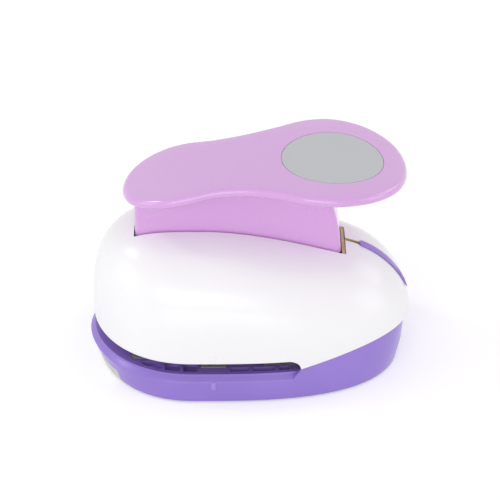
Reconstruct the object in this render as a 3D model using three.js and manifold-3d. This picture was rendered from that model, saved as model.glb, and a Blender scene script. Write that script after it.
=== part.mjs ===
// Circle punch with a long lever: an egg-shaped base and domed cover hold a round punch
// and die of two inches, and the lever presses the punch through a roller.
// X runs from the paper mouth (front, minus X) to the handle end, Y across, Z up.
// All lengths are in millimetres.
import * as THREE from 'three';
import { mergeVertices } from 'three/addons/utils/BufferGeometryUtils.js';
import Module from 'manifold-3d';

const wasm = await Module();
wasm.setup();

// Clearances
const seatGap = 0.3;
const runFit = 0.08;
const overrun = 3;

// Plan outline that base and cover share, and how far each leans in at its nose and tail
const bodyFront = 83.4;
const bodyRear = 82;
const bodyHalfWidth = 51.5;
const widestX = -28.6;
const frontFullness = 2.19;
const frontRoundness = 0.543;
const rearFullness = 2.85;
const rearRoundness = 0.419;
const outlineSteps = 24;

// Die and punch
const dieX = -19;
const cutRadius = 25.4;
const punchClearance = 0.3;
const paperGap = 2.6;

// Base shell
const footStand = 0.6;
const shellWall = 2.4;
const deckTop = 15.7;
const deckThick = 2.2;
const bedThick = 6;
const lipStepZ = 12.5;
const lipRun = 4.2;
const rearTuck = 1.2;
const rearDraft = 5.4;
const frontDraft = 4.8;
const draftEase = 1.3;
const mouthEdgeZ = 23.7;
const mouthRearX = 24.5;
const mouthFootRun = 4;
const mouthCornerRun = 6.5;
const partingStartZ = 18.25;
const partingRise = 10.85;
const pocketDepth = 3.2;
const pocketRim = 0.4;
const rearPocketWidth = 3.4;
const pocketRibs = 2;

// Cover dome
const springZ = 19.5;
const crestX = -25;
const crestTop = 77.3;
const frontCrestFullness = 3.7;
const sectionFullness = 2.48;
const rearArcRadius = 46;
const rearArcStart = THREE.MathUtils.degToRad(15);
const coverWall = 2.2;
const coverTuck = 2.4;
const domeRings = 8;
const spineFront = -50;
const spineRear = 34;
const slotFront = -58.5;
const slotRear = 47.1;
const slotHalf = 13;
const slitHalf = 1.35;

// Lever
const leverFront = -64;
const leverRear = 76.3;
const leverHalfWidth = 40.7;
const leverTop = 111.8;
const leverCrestX = 32;
const leverFrontBend = 300;
const leverRearBend = 208;
const plateThick = 5;
const skirtFront = -58;
const skirtHalf = 12;
const skirtWall = 2.4;
const skirtCorner = 3.2;
const hingeX = -51;
const hingeZ = 60;
const hingeRadius = 2.5;
const slotGapRear = 2.4;
const inlayX = 39.6;
const inlayRadius = 25;
const inlayThick = 0.5;
const pressAngle = THREE.MathUtils.degToRad(15.4);

// Steel stack
const dieTop = 16;
const dieThick = 4;
const plateFront = -60.5;
const plateRear = 22;
const plateHalf = 35.5;
const plateCorner = 2.5;
const wingFront = -10;
const wingRun = 16;
const wingInset = 3.4;
const earHalf = 6.4;
const earReach = 43.4;
const stripperThick = 2;
const spacerDepth = 10;

// Punch, holder, posts and springs
const punchHeight = 16;
const punchRecess = 0.8;
const punchBoreRadius = 19;
const punchCrown = 4.4;
const punchScrewY = 15.6;
const holderThick = 4;
const holderRadius = 26;
const postSpreadX = 24;
const postSpreadY = 24;
const postRadius = 2;
const postTailRadius = 1.4;
const postHeadRadius = 4;
const postHeadThick = 2;
const lugRadius = 6.2;
const armHalf = 5;
const springWire = 1;
const springRadius = 3.5;
const springTurns = 4;
const springSeatGap = 0.2;

// Roller
const rollerRadius = 5;
const rollerHalf = 8.8;
const axleRadius = 2;
const earBottomWall = 1.8;
const rollerEarHalf = 5;

// Hinge bracket and rear guide
const steelWall = 1.6;
const bracketFront = -60;
const bracketRear = -46.5;
const bracketInner = 13;
const bracketRound = 7;
const washerThick = 0.6;
const washerRadius = 5;
const pinHeadRadius = 4;
const pinHeadThick = 1.2;
const clipThick = 1;
const clipRadius = 4.4;
const clipGroove = 0.7;
const clipMouth = 3;
const guideFront = 30;
const guideInner = 12.6;
const guideCrownDrop = 1.2;

// Lock
const lockHalf = 2.5;
const lockProud = 0.6;
const lockTopAngle = THREE.MathUtils.degToRad(23);
const lockEndAngle = THREE.MathUtils.degToRad(69);
const neckHalf = 1;
const neckTopAngle = THREE.MathUtils.degToRad(28);
const neckEndAngle = THREE.MathUtils.degToRad(41);
const keeperHalf = 3.6;
const keeperThick = 1.6;
const keeperGap = 0.7;
const keeperNoseBack = 2.7;
const noseClearance = 0.5;
const keeperEndAngle = THREE.MathUtils.degToRad(45.5);
const lockTravel = THREE.MathUtils.degToRad(9.4);
const lockScrewAngle = THREE.MathUtils.degToRad(34.5);

// Screws, rivets and feet
const screwRadius = 1.4;
const screwHeadRadius = 2.8;
const screwHeadThick = 1.3;
const screwBite = 11;
const coverPostRadius = 3.6;
const frontPostX = -52;
const frontPostY = 29;
const rearPostInset = 20;
const rearPostY = 18;
const rivetRadius = 1.6;
const rivetHeadRadius = 3;
const rivetHeadThick = 1;
const footRadius = 5.5;
const footThick = 1.2;
const footBossWall = 1.2;
const frontFootEdge = 8.3;
const rearFootEdge = 10;
const frontFootX = -45;
const rearFootInset = 34;

// Waste lid
const lidBossGap = 0.5;
const lidHeight = 6.2;
const lidFloor = 1.6;
const lidRear = 29;
const lidBarRadius = 1.2;
const lidBarX = 32.2;
const lidBarHalf = 25;
const lidWebHalf = 18.5;
const hookThick = 4;

// Alignment marks
const markHalf = 1.1;
const markProud = 0.5;
const markTall = 7;
const baseMarkTall = 4.4;

// Heights that follow from the stack
const dieBottom = dieTop - dieThick;
const stripperBottom = dieTop + paperGap;
const stripperTop = stripperBottom + stripperThick;
const punchBottom = stripperBottom + punchRecess;
const punchTop = punchBottom + punchHeight;
const holderBottom = punchTop + seatGap;
const holderTop = holderBottom + holderThick;
const rollerZ = holderTop + seatGap + rollerRadius;
const bedBottom = deckTop - bedThick;
const deckBottom = deckTop - deckThick;
const skirtArc = slotRear - slotGapRear - hingeX;
const rearArcX = bodyRear - rearArcRadius;
const lockInner = rearArcRadius + seatGap;
const lockOuter = rearArcRadius + lockProud + seatGap;
const rearPostX = bodyRear - rearPostInset;
const rearFootX = bodyRear - rearFootInset;
const keeperOuter = rearArcRadius - coverWall - keeperGap;
const keeperInner = keeperOuter - keeperThick;
const keeperNoseAngle = Math.asin((slotRear + keeperNoseBack - rearArcX) / keeperOuter);
const skirtBottomZ = springZ + keeperOuter + noseClearance;
const guideTop = springZ + Math.sqrt(keeperInner ** 2 - (slotRear - rearArcX) ** 2) - seatGap;
const guideCrownTop = springZ + Math.sqrt(rearArcRadius ** 2 - (slotRear - rearArcX) ** 2) - guideCrownDrop;
const baseTop = partingStartZ + partingRise + overrun;
const lidBottom = footStand + (footThick - footStand) / 3;
const lidTop = lidBottom + lidHeight;
const lidBarZ = lidBottom + lidFloor;
const farOut = bodyRear + bodyFront;

// Segments round a circle
const fine = 48;
const medium = 16;
const coarse = 10;

// Turns a closed geometry into a solid that can be joined and cut
function solid(geometry) {
  const bare = geometry.index ? geometry.toNonIndexed() : geometry.clone();
  bare.deleteAttribute('normal');
  bare.deleteAttribute('uv');
  const merged = mergeVertices(bare, 1e-4);
  const kept = [];
  const index = merged.index.array;
  for (let i = 0; i < index.length; i += 3) {
    const [a, b, c] = [index[i], index[i + 1], index[i + 2]];
    if (a !== b && b !== c && c !== a) kept.push(a, b, c);
  }
  const mesh = new wasm.Mesh({
    numProp: 3,
    vertProperties: new Float32Array(merged.attributes.position.array),
    triVerts: new Uint32Array(kept),
  });
  return new wasm.Manifold(mesh);
}

// Turns a solid back into a geometry
function geometryOf(body) {
  const mesh = body.getMesh();
  const geometry = new THREE.BufferGeometry();
  geometry.setAttribute('position', new THREE.BufferAttribute(new Float32Array(mesh.vertProperties), 3));
  geometry.setIndex(new THREE.BufferAttribute(new Uint32Array(mesh.triVerts), 1));
  geometry.computeVertexNormals();
  return geometry;
}

function join(first, ...others) {
  return others.reduce((whole, next) => whole.add(next), first);
}

function cut(first, ...others) {
  return others.reduce((whole, next) => whole.subtract(next), first);
}

// Box between two corners
function block(x0, x1, y0, y1, z0, z1) {
  const box = new THREE.BoxGeometry(x1 - x0, y1 - y0, z1 - z0);
  box.translate((x0 + x1) / 2, (y0 + y1) / 2, (z0 + z1) / 2);
  return solid(box);
}

// Upright round bar
function post(x, y, radius, z0, z1, sides = medium) {
  const bar = new THREE.CylinderGeometry(radius, radius, z1 - z0, sides);
  bar.rotateX(Math.PI / 2);
  bar.translate(x, y, (z0 + z1) / 2);
  return solid(bar);
}

// Slim upright bar at a named place, as for screws, rivets and their holes
function peg(place, radius, z0, z1) {
  return post(place.x, place.y, radius, z0, z1, coarse);
}

// Round bar that lies across the body
function crossBar(x, z, radius, y0, y1, sides = medium) {
  const bar = new THREE.CylinderGeometry(radius, radius, y1 - y0, sides);
  bar.translate(x, (y0 + y1) / 2, z);
  return solid(bar);
}

// Shape drawn in X and Z, given a width across the body
function sideForm(points, y0, y1) {
  const form = new THREE.ExtrudeGeometry(new THREE.Shape(points), { depth: y1 - y0, bevelEnabled: false });
  form.rotateX(Math.PI / 2);
  form.translate(0, y1, 0);
  return solid(form);
}

// Shape drawn in X and Y, given a height
function planForm(shape, z0, z1, curveSegments = 8) {
  const form = new THREE.ExtrudeGeometry(shape, { depth: z1 - z0, bevelEnabled: false, curveSegments });
  form.translate(0, 0, z0);
  return solid(form);
}

function roundedPlan(x0, x1, half, radius) {
  const shape = new THREE.Shape();
  shape.moveTo(x0 + radius, -half);
  shape.lineTo(x1, -half);
  shape.lineTo(x1, half);
  shape.lineTo(x0 + radius, half);
  shape.absarc(x0 + radius, half - radius, radius, Math.PI / 2, Math.PI, false);
  shape.absarc(x0 + radius, radius - half, radius, Math.PI, Math.PI * 1.5, false);
  return shape;
}

// Closed skin over rings of equal count, each mirrored about the XZ plane:
// point 0 is the front nose, half the count further is the rear nose
function loft(rings) {
  const count = rings[0].length;
  const half = count / 2;
  const faces = [];
  const face = (a, b, c) => {
    if (a.distanceTo(b) > 0 && b.distanceTo(c) > 0 && c.distanceTo(a) > 0) faces.push(a, b, c);
  };
  for (let level = 0; level + 1 < rings.length; level++) {
    for (let i = 0; i < count; i++) {
      const next = (i + 1) % count;
      face(rings[level][i], rings[level][next], rings[level + 1][next]);
      face(rings[level][i], rings[level + 1][next], rings[level + 1][i]);
    }
  }
  const lid = (ring, up) => {
    for (let i = 0; i < half; i++) {
      const [a, b] = [ring[i], ring[i + 1]];
      const [c, d] = [ring[count - i - 1], ring[(count - i) % count]];
      if (up) {
        face(a, b, c);
        if (i > 0) face(a, c, d);
      } else {
        face(a, c, b);
        if (i > 0) face(a, d, c);
      }
    }
  };
  lid(rings[0], false);
  lid(rings[rings.length - 1], true);
  return solid(new THREE.BufferGeometry().setFromPoints(faces));
}

// Half width of the body at x, drawn in by inset, its rear and front noses pulled in
function planHalfWidth(x, inset, rearPull = 0, frontPull = 0) {
  const ahead = x < widestX;
  const reach = ahead ? widestX + bodyFront - inset - frontPull : bodyRear - widestX - inset - rearPull;
  const along = Math.min(Math.abs(x - widestX) / reach, 1);
  const fullness = ahead ? frontFullness : rearFullness;
  const roundness = ahead ? frontRoundness : rearRoundness;
  return (bodyHalfWidth - inset) * (1 - along ** fullness) ** roundness;
}

function planRing(z, inset = 0, rearPull = 0, frontPull = 0) {
  const front = inset + frontPull - bodyFront;
  const rear = bodyRear - inset - rearPull;
  const right = [];
  for (let i = 0; i <= outlineSteps; i++) {
    const x = front + (rear - front) * (1 - Math.cos((Math.PI * i) / outlineSteps)) / 2;
    const ends = i === 0 || i === outlineSteps;
    right.push(new THREE.Vector3(x, ends ? 0 : -planHalfWidth(x, inset, rearPull, frontPull), z));
  }
  const left = right.slice(1, -1).reverse().map((p) => new THREE.Vector3(p.x, -p.y, p.z));
  return [...right, ...left];
}

// Straight-walled body of the plan outline
function planBody(inset, z0, z1) {
  return loft([planRing(z0, inset), planRing(z1, inset)]);
}

// Height of the cover's centre line above the spring line
function crestHeight(x) {
  if (x < crestX) {
    const along = Math.min((crestX - x) / (crestX + bodyFront - coverTuck), 1);
    return (crestTop - springZ) * (1 - along ** frontCrestFullness) ** (1 / frontCrestFullness);
  }
  const arcStartX = rearArcX + rearArcRadius * Math.sin(rearArcStart);
  if (x > arcStartX) return Math.sqrt(Math.max(rearArcRadius ** 2 - (x - rearArcX) ** 2, 0));
  const span = arcStartX - crestX;
  const t = (x - crestX) / span;
  const startHeight = crestTop - springZ;
  const endHeight = rearArcRadius * Math.cos(rearArcStart);
  const endSlope = -Math.tan(rearArcStart) * span;
  return (2 * t ** 3 - 3 * t ** 2 + 1) * startHeight
    + (3 * t ** 2 - 2 * t ** 3) * endHeight
    + (t ** 3 - t ** 2) * endSlope;
}

// Height of the dome's surface over a point of its plan
function domeZ(x, y, inset) {
  const reach = x < widestX ? widestX + bodyFront - coverTuck : bodyRear - widestX;
  const outerX = widestX + (x - widestX) * reach / (reach - inset);
  const rise = crestHeight(outerX) * (crestTop - springZ - inset) / (crestTop - springZ);
  const half = planHalfWidth(x, inset, 0, coverTuck);
  const across = half > 0 ? Math.min(Math.abs(y) / half, 1) : 1;
  return springZ + rise * (1 - across ** sectionFullness) ** (1 / sectionFullness);
}

function domeBody(inset, bottomZ) {
  const rim = planRing(springZ, inset, 0, coverTuck);
  const rings = [planRing(bottomZ, inset, 0, coverTuck), rim];
  for (let level = 1; level < domeRings; level++) {
    const shrink = Math.cos((Math.PI * level) / (2 * domeRings)) ** (2 / sectionFullness);
    rings.push(rim.map((p) => {
      const spineX = THREE.MathUtils.clamp(p.x, spineFront, spineRear);
      const x = spineX + (p.x - spineX) * shrink;
      return new THREE.Vector3(x, p.y * shrink, domeZ(x, p.y * shrink, inset));
    }));
  }
  return loft(rings);
}

// Ring of the base's wall, whose rear and front lean in towards the bottom
function baseRing(z, inset = 0) {
  const low = THREE.MathUtils.clamp(1 - z / baseTop, 0, 1);
  const underLip = THREE.MathUtils.clamp(1 - z / lipStepZ, 0, 1);
  return planRing(z, inset, rearTuck + rearDraft * low ** draftEase, frontDraft * underLip);
}

function baseBody(inset, z0, z1) {
  return loft([baseRing(z0, inset), baseRing(z1, inset)]);
}

// Line where cover and base meet behind the mouth, as points in X and Z
function partingLine(lift) {
  const points = [];
  const steps = 8;
  for (let i = 0; i <= steps; i++) {
    const x = mouthRearX + (bodyRear + overrun - mouthRearX) * i / steps;
    const z = partingStartZ + partingRise * Math.sin((Math.PI / 2) * i / steps) + lift;
    points.push(new THREE.Vector2(x, z));
  }
  return points;
}

// Top surface of the lever plate along its length
function leverTopZ(x) {
  const bend = x < leverCrestX ? leverFrontBend : leverRearBend;
  return leverTop - bend + Math.sqrt(bend ** 2 - (x - leverCrestX) ** 2);
}

// Half outline of the lever plate: shares of its length and of its half width
const leverAlongShares = [
  0, 0.022, 0.075, 0.147, 0.218, 0.325, 0.432,
  0.539, 0.646, 0.754, 0.868, 0.95, 0.988, 1,
];
const leverAcrossShares = [
  0, 0.316, 0.534, 0.656, 0.685, 0.644, 0.687,
  0.805, 0.963, 0.997, 0.853, 0.582, 0.304, 0,
];

function leverOutline() {
  const half = leverAlongShares.map((share, i) => new THREE.Vector3(
    leverFront + (leverRear - leverFront) * share,
    -leverHalfWidth * leverAcrossShares[i],
    0,
  ));
  const mirrored = half.slice(1, -1).reverse().map((p) => new THREE.Vector3(p.x, -p.y, p.z));
  const curve = new THREE.CatmullRomCurve3([...half, ...mirrored], true, 'centripetal');
  const count = (half.length + mirrored.length) * 2;
  const points = [];
  for (let i = 0; i < count; i++) points.push(curve.getPoint(i / count));
  return points;
}

// Points of a ring moved in by a distance, square to its outline
function drawnIn(ring, distance) {
  return ring.map((p, i) => {
    const before = ring[(i + ring.length - 1) % ring.length];
    const after = ring[(i + 1) % ring.length];
    const normal = new THREE.Vector3(before.y - after.y, after.x - before.x, 0).normalize();
    return p.clone().addScaledVector(normal, distance);
  });
}

function leverPlate() {
  const outline = leverOutline();
  const round = plateThick / 2;
  const rimSteps = 6;
  const rings = [];
  for (let i = 0; i <= rimSteps; i++) {
    const turn = -Math.PI / 2 + (Math.PI * i) / rimSteps;
    const ring = drawnIn(outline, round * (1 - Math.cos(turn)));
    const depth = round - round * Math.sin(turn);
    rings.push(ring.map((p) => new THREE.Vector3(p.x, p.y, leverTopZ(p.x) - depth)));
  }
  return loft(rings);
}

// Points along the lever's curved plate at a depth below its top
function plateLine(x0, x1, depth) {
  const points = [];
  const steps = 12;
  for (let i = 0; i <= steps; i++) {
    const x = x0 + (x1 - x0) * i / steps;
    points.push(new THREE.Vector2(x, leverTopZ(x) - depth));
  }
  return points;
}

// Point in X and Z at a distance from the hinge's axis
function aroundHinge(distance, turn) {
  return new THREE.Vector2(hingeX + distance * Math.cos(turn), hingeZ + distance * Math.sin(turn));
}

// Side view of the skirt: upright front, rear edge on an arc round the hinge
function skirtProfile(wall, bottomDrop) {
  const points = [];
  const rearRadius = skirtArc - wall;
  const arcSteps = 8;
  const lowZ = skirtBottomZ - bottomDrop;
  const topDepth = plateThick / 2 + wall;
  const lowTurn = Math.asin((lowZ - hingeZ) / rearRadius);
  const highTurn = Math.asin((leverTopZ(skirtArc + hingeX) - topDepth - hingeZ) / rearRadius);
  for (let i = 0; i <= arcSteps; i++) {
    const turn = lowTurn + (highTurn - lowTurn) * i / arcSteps;
    points.push(aroundHinge(rearRadius, turn));
  }
  const rearTopX = points[points.length - 1].x;
  points.push(...plateLine(rearTopX, skirtFront + wall, topDepth).slice(1));
  const hingeLow = hingeZ - bracketRound - bottomDrop;
  const hingeBack = hingeX + bracketRound;
  const earLow = rollerZ - axleRadius - earBottomWall - bottomDrop;
  points.push(new THREE.Vector2(skirtFront + wall, hingeLow));
  points.push(new THREE.Vector2(hingeBack, hingeLow));
  points.push(new THREE.Vector2(hingeBack + bracketRound, lowZ));
  points.push(new THREE.Vector2(dieX - rollerEarHalf * 2, lowZ));
  points.push(new THREE.Vector2(dieX - rollerEarHalf, earLow));
  points.push(new THREE.Vector2(dieX + rollerEarHalf, earLow));
  points.push(new THREE.Vector2(dieX + rollerEarHalf * 2, lowZ));
  return points;
}

function skirtBody() {
  const form = new THREE.ExtrudeGeometry(new THREE.Shape(skirtProfile(0, 0)), {
    depth: 2 * (skirtHalf - skirtCorner),
    bevelThickness: skirtCorner,
    bevelSize: skirtCorner,
    bevelOffset: -skirtCorner,
    bevelSegments: 4,
  });
  form.rotateX(Math.PI / 2);
  form.translate(0, skirtHalf - skirtCorner, 0);
  return solid(form);
}

// Band of an annulus round the rear arc's centre, angles measured from straight up
function arcBand(inner, outer, from, to, half, steps = 16) {
  const points = [];
  const at = (radius, turn) => new THREE.Vector2(
    rearArcX + radius * Math.sin(turn),
    springZ + radius * Math.cos(turn),
  );
  for (let i = 0; i <= steps; i++) points.push(at(outer, from + (to - from) * i / steps));
  for (let i = steps; i >= 0; i--) points.push(at(inner, from + (to - from) * i / steps));
  return sideForm(points, -half, half);
}

// Round bar pointing away from the rear arc's centre
function arcSpoke(turn, radius, inner, outer, sides = medium) {
  const bar = new THREE.CylinderGeometry(radius, radius, outer - inner, sides);
  bar.rotateX(Math.PI / 2);
  bar.translate(0, 0, (inner + outer) / 2);
  bar.rotateY(turn);
  bar.translate(rearArcX, 0, springZ);
  return solid(bar);
}

// Compression spring: a round wire on a helix with straight upright ends
function springGeometry(x, y, z0, z1) {
  const curlSteps = 8;
  const sides = 5;
  const wireRadius = springWire / 2;
  const steps = springTurns * curlSteps;
  const coilBottom = z0 + springWire;
  const coilTop = z1 - springWire;
  const path = [new THREE.Vector3(springRadius, 0, z0)];
  for (let i = 0; i <= steps; i++) {
    const turn = (2 * Math.PI * i) / curlSteps;
    const z = coilBottom + (coilTop - coilBottom) * i / steps;
    path.push(new THREE.Vector3(springRadius * Math.cos(turn), springRadius * Math.sin(turn), z));
  }
  path.push(new THREE.Vector3(springRadius, 0, z1));
  const up = new THREE.Vector3(0, 0, 1);
  const rings = path.map((p, i) => {
    const outward = new THREE.Vector3(p.x, p.y, 0).normalize();
    const forward = new THREE.Vector3().crossVectors(up, outward);
    const climb = (coilTop - coilBottom) / (springTurns * 2 * Math.PI * springRadius);
    const along = forward.clone().addScaledVector(up, climb).normalize();
    if (i === 0 || i === path.length - 1) along.copy(up);
    if (i === 1 || i === path.length - 2) along.add(up).normalize();
    const side = new THREE.Vector3().crossVectors(along, outward).normalize();
    const ring = [];
    for (let k = 0; k < sides; k++) {
      const turn = (2 * Math.PI * k) / sides;
      ring.push(p.clone()
        .addScaledVector(outward, wireRadius * Math.cos(turn))
        .addScaledVector(side, wireRadius * Math.sin(turn)));
    }
    return ring;
  });
  const faces = [];
  for (let i = 0; i + 1 < rings.length; i++) {
    for (let k = 0; k < sides; k++) {
      const next = (k + 1) % sides;
      faces.push(rings[i][k], rings[i][next], rings[i + 1][next]);
      faces.push(rings[i][k], rings[i + 1][next], rings[i + 1][k]);
    }
  }
  const last = rings.length - 1;
  for (let k = 1; k + 1 < sides; k++) {
    faces.push(rings[0][0], rings[0][k + 1], rings[0][k]);
    faces.push(rings[last][0], rings[last][k], rings[last][k + 1]);
  }
  const geometry = new THREE.BufferGeometry().setFromPoints(faces);
  geometry.translate(x, y, 0);
  return geometry;
}

// Least gap between the wire's turns, measured on the points of its centre line
function springLeastGap(z0, z1) {
  const curlSteps = 8;
  const steps = springTurns * curlSteps;
  const pitch = (z1 - z0 - 2 * springWire) / springTurns;
  const points = [];
  for (let i = 0; i <= steps; i++) {
    const turn = (2 * Math.PI * i) / curlSteps;
    const z = pitch * i / curlSteps;
    points.push(new THREE.Vector3(springRadius * Math.cos(turn), springRadius * Math.sin(turn), z));
  }
  let least = Infinity;
  for (let i = 0; i < points.length; i++) {
    for (let k = i + curlSteps / 2; k < points.length; k++) {
      least = Math.min(least, points[i].distanceTo(points[k]) - springWire);
    }
  }
  return least;
}

function finish(color, roughness, metalness = 0) {
  return new THREE.MeshStandardMaterial({ color, roughness, metalness });
}

const lilacPlastic = finish(0xd9afdf, 0.35);
const purplePlastic = finish(0x977ecf, 0.4);
const whitePlastic = finish(0xf7f5f8, 0.4);
const greyPlastic = finish(0xd4d2d8, 0.45);
const inlayFilm = finish(0xc2c3c7, 0.5);
const steel = finish(0x9a9aa0, 0.35, 1);
const darkSteel = finish(0x66636a, 0.4, 1);
const zincSteel = finish(0xa88f78, 0.45, 0.7);
const blackPlastic = finish(0x2c2c30, 0.5);
const rubber = finish(0x77757c, 0.85);

const punchMachine = new THREE.Group();

function addPiece(name, shape, material) {
  const geometry = shape instanceof THREE.BufferGeometry ? shape : geometryOf(shape);
  const piece = new THREE.Mesh(geometry, material);
  piece.name = name;
  punchMachine.add(piece);
}

const sides = [
  { name: 'left', sign: 1 },
  { name: 'right', sign: -1 },
];
const guidePlaces = [
  { name: 'front', x: dieX - postSpreadX },
  { name: 'rear', x: dieX + postSpreadX },
].flatMap((end) => sides.map((side) => ({
  name: `${end.name}_${side.name}`,
  x: end.x,
  y: side.sign * postSpreadY,
})));
const footPlaces = [
  { name: 'front', x: frontFootX, edge: frontFootEdge },
  { name: 'rear', x: rearFootX, edge: rearFootEdge },
].flatMap((end) => sides.map((side) => ({
  name: `${end.name}_${side.name}`,
  x: end.x,
  y: side.sign * (planHalfWidth(end.x, 0) - end.edge),
})));
const lidHalf = planHalfWidth(frontFootX, 0) - frontFootEdge - footRadius - footBossWall - lidBossGap;
const rivetSpreadShares = [-0.8, -0.35, 0.35, 0.8];
const rivetPlaces = rivetSpreadShares.map((share, i) => ({
  name: `${i + 1}`,
  x: plateRear - spacerDepth / 2,
  y: share * plateHalf,
}));

function pairAt(x, y) {
  return sides.map((side) => ({ name: side.name, x, y: side.sign * y }));
}

const dieScrewPlaces = pairAt(plateFront + rivetHeadRadius * 2, frontPostY / 2);
const frontScrewPlaces = pairAt(frontPostX, frontPostY);
const rearScrewPlaces = pairAt(rearPostX, rearPostY);
const bracketRivetPlaces = pairAt((bracketFront + bracketRear) / 2, bracketInner / 2);
const guideScrewPlaces = pairAt(guideFront + screwHeadRadius * 2, guideInner / 2);
const punchScrewPlaces = pairAt(dieX, punchScrewY);

// Base
function makeBase() {
  const lipped = loft([baseRing(footStand), baseRing(lipStepZ), baseRing(deckTop, lipRun)]);
  const tall = loft([baseRing(footStand), baseRing(lipStepZ), baseRing(baseTop)]);
  const mouthFootX = mouthRearX - mouthFootRun;
  const mouthSpace = sideForm([
    new THREE.Vector2(-farOut, lipStepZ),
    new THREE.Vector2(mouthFootX, lipStepZ),
    new THREE.Vector2(mouthRearX, partingStartZ),
    new THREE.Vector2(mouthRearX, baseTop + overrun),
    new THREE.Vector2(-farOut, baseTop + overrun),
  ], -farOut, farOut);
  const aboveParting = sideForm([
    ...partingLine(0),
    new THREE.Vector2(bodyRear + overrun, baseTop + overrun),
    new THREE.Vector2(mouthRearX, baseTop + overrun),
  ], -farOut, farOut);
  let body = join(lipped, cut(tall, mouthSpace, aboveParting));

  const hollowFront = baseBody(shellWall, -overrun, bedBottom);
  const hollowRear = baseBody(shellWall, -overrun, deckBottom)
    .intersect(block(mouthRearX, farOut, -farOut, farOut, -overrun * 2, deckBottom + overrun));
  const hollowTop = baseBody(shellWall, deckTop, baseTop + overrun)
    .intersect(block(mouthFootX, farOut, -farOut, farOut, deckTop - overrun, baseTop + overrun * 2));
  body = cut(body, hollowFront, hollowRear, hollowTop);

  for (const place of footPlaces) {
    const boss = post(place.x, place.y, footRadius + footBossWall, footStand, deckTop - deckThick / 2);
    body = join(body, boss.intersect(lipped));
    body = cut(body, post(place.x, place.y, footRadius + seatGap, -overrun, footThick));
  }
  for (const side of sides) {
    const inner = lidWebHalf + seatGap * 2;
    const [y0, y1] = [side.sign * inner, side.sign * (inner + hookThick)].sort((a, b) => a - b);
    const hookRear = lidBarX + lidBarRadius * 2;
    const hook = block(lidRear + seatGap * 2, hookRear, y0, y1, lidBottom, deckTop - deckThick / 2);
    body = join(body, hook);
  }
  const barRoom = lidBarHalf + seatGap;
  body = cut(body, crossBar(lidBarX, lidBarZ, lidBarRadius + runFit, -barRoom, barRoom));

  const seat = roundedPlan(plateFront - seatGap, plateRear + seatGap, plateHalf + seatGap, plateCorner);
  body = cut(
    body,
    planForm(seat, dieBottom, deckTop + overrun),
    block(dieX - earHalf - seatGap, dieX + earHalf + seatGap, -earReach - seatGap, earReach + seatGap,
      dieBottom, deckTop + overrun),
    post(dieX, 0, cutRadius + rivetHeadThick, bedBottom - overrun, deckTop, fine),
  );

  // Shallow pockets between ribs, beside the die plate; those behind its middle are narrow
  const pocketReach = planBody(lipRun + pocketRim, deckTop - pocketDepth, deckTop + overrun);
  const rearLand = planBody(lipRun + pocketRim + rearPocketWidth, dieBottom, baseTop);
  const pocketEdgeShares = [-2.8, -2.02, -1.9, -1.32, -1.18, -0.62, 0.65, 1.38, 1.54, 2.4, 2.56, 2.95];
  for (let i = 0; i < pocketEdgeShares.length; i += 2) {
    const x0 = dieX + pocketEdgeShares[i] * earHalf * pocketRibs;
    const x1 = dieX + pocketEdgeShares[i + 1] * earHalf * pocketRibs;
    for (const side of sides) {
      const near = plateHalf + shellWall;
      const [y0, y1] = [side.sign * near, side.sign * bodyHalfWidth].sort((a, b) => a - b);
      const pocket = block(x0, x1, y0, y1, deckTop - pocketDepth, deckTop + overrun).intersect(pocketReach);
      body = cut(body, x0 > dieX ? cut(pocket, rearLand) : pocket);
    }
  }

  for (const place of dieScrewPlaces) {
    body = cut(body, peg(place, screwRadius + runFit, bedBottom - overrun, deckTop));
  }
  for (const place of rivetPlaces) {
    body = cut(body, peg(place, rivetHeadRadius + seatGap, bedBottom - overrun, deckTop));
  }
  for (const place of [...rearScrewPlaces, ...guideScrewPlaces]) {
    body = cut(body, peg(place, screwRadius + runFit, deckBottom - overrun, deckTop + overrun));
  }

  // Opening for the front edge of the waste lid
  body = cut(body, block(-farOut, dieX - cutRadius * 1.5, -lidHalf - seatGap, lidHalf + seatGap,
    -overrun, lidTop + seatGap));

  const mark = loft([
    planRing(lipStepZ - baseMarkTall, -markProud),
    planRing(lipStepZ - runFit, -markProud),
  ]).intersect(block(dieX - markHalf, dieX + markHalf, -farOut, farOut, 0, baseTop))
    .subtract(planBody(shellWall / 2, 0, baseTop));
  return join(body, mark);
}
addPiece('base', makeBase(), purplePlastic);

// Waste lid: a shallow tray that closes the base below the die
function makeWasteLid() {
  const outer = baseBody(0, footStand, lipStepZ)
    .intersect(block(-farOut, lidRear, -lidHalf, lidHalf, lidBottom, lidTop));
  const trayHalf = lidHalf - lidFloor;
  const tray = baseBody(shellWall, lidBottom + lidFloor, lipStepZ)
    .intersect(block(-farOut, lidRear - lidFloor, -trayHalf, trayHalf, lidBottom, lidTop + overrun));
  const bar = crossBar(lidBarX, lidBarZ, lidBarRadius, -lidBarHalf, lidBarHalf);
  const web = block(lidRear - lidFloor / 2, lidBarX, -lidWebHalf, lidWebHalf,
    lidBarZ - lidBarRadius / 2, lidBarZ + lidBarRadius / 2);
  return join(cut(outer, tray), web, bar);
}
addPiece('waste_lid', makeWasteLid(), greyPlastic);

// Steel plates of the throat
function plateHoles(body, z0, z1) {
  let drilled = cut(body, post(dieX, 0, cutRadius, z0 - overrun, z1 + overrun, fine));
  for (const place of rivetPlaces) {
    drilled = cut(drilled, peg(place, rivetRadius + runFit, z0 - overrun, z1 + overrun));
  }
  return drilled;
}

function makeDiePlate() {
  const plan = roundedPlan(plateFront, plateRear, plateHalf, plateCorner);
  const ears = block(dieX - earHalf, dieX + earHalf, -earReach, earReach, dieBottom, dieTop);
  let body = plateHoles(join(planForm(plan, dieBottom, dieTop), ears), dieBottom, dieTop);
  for (const place of dieScrewPlaces) {
    body = cut(body, peg(place, screwRadius + runFit, dieBottom - overrun, dieTop - seatGap * 3));
  }
  return body;
}
addPiece('die_plate', makeDiePlate(), steel);

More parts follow.
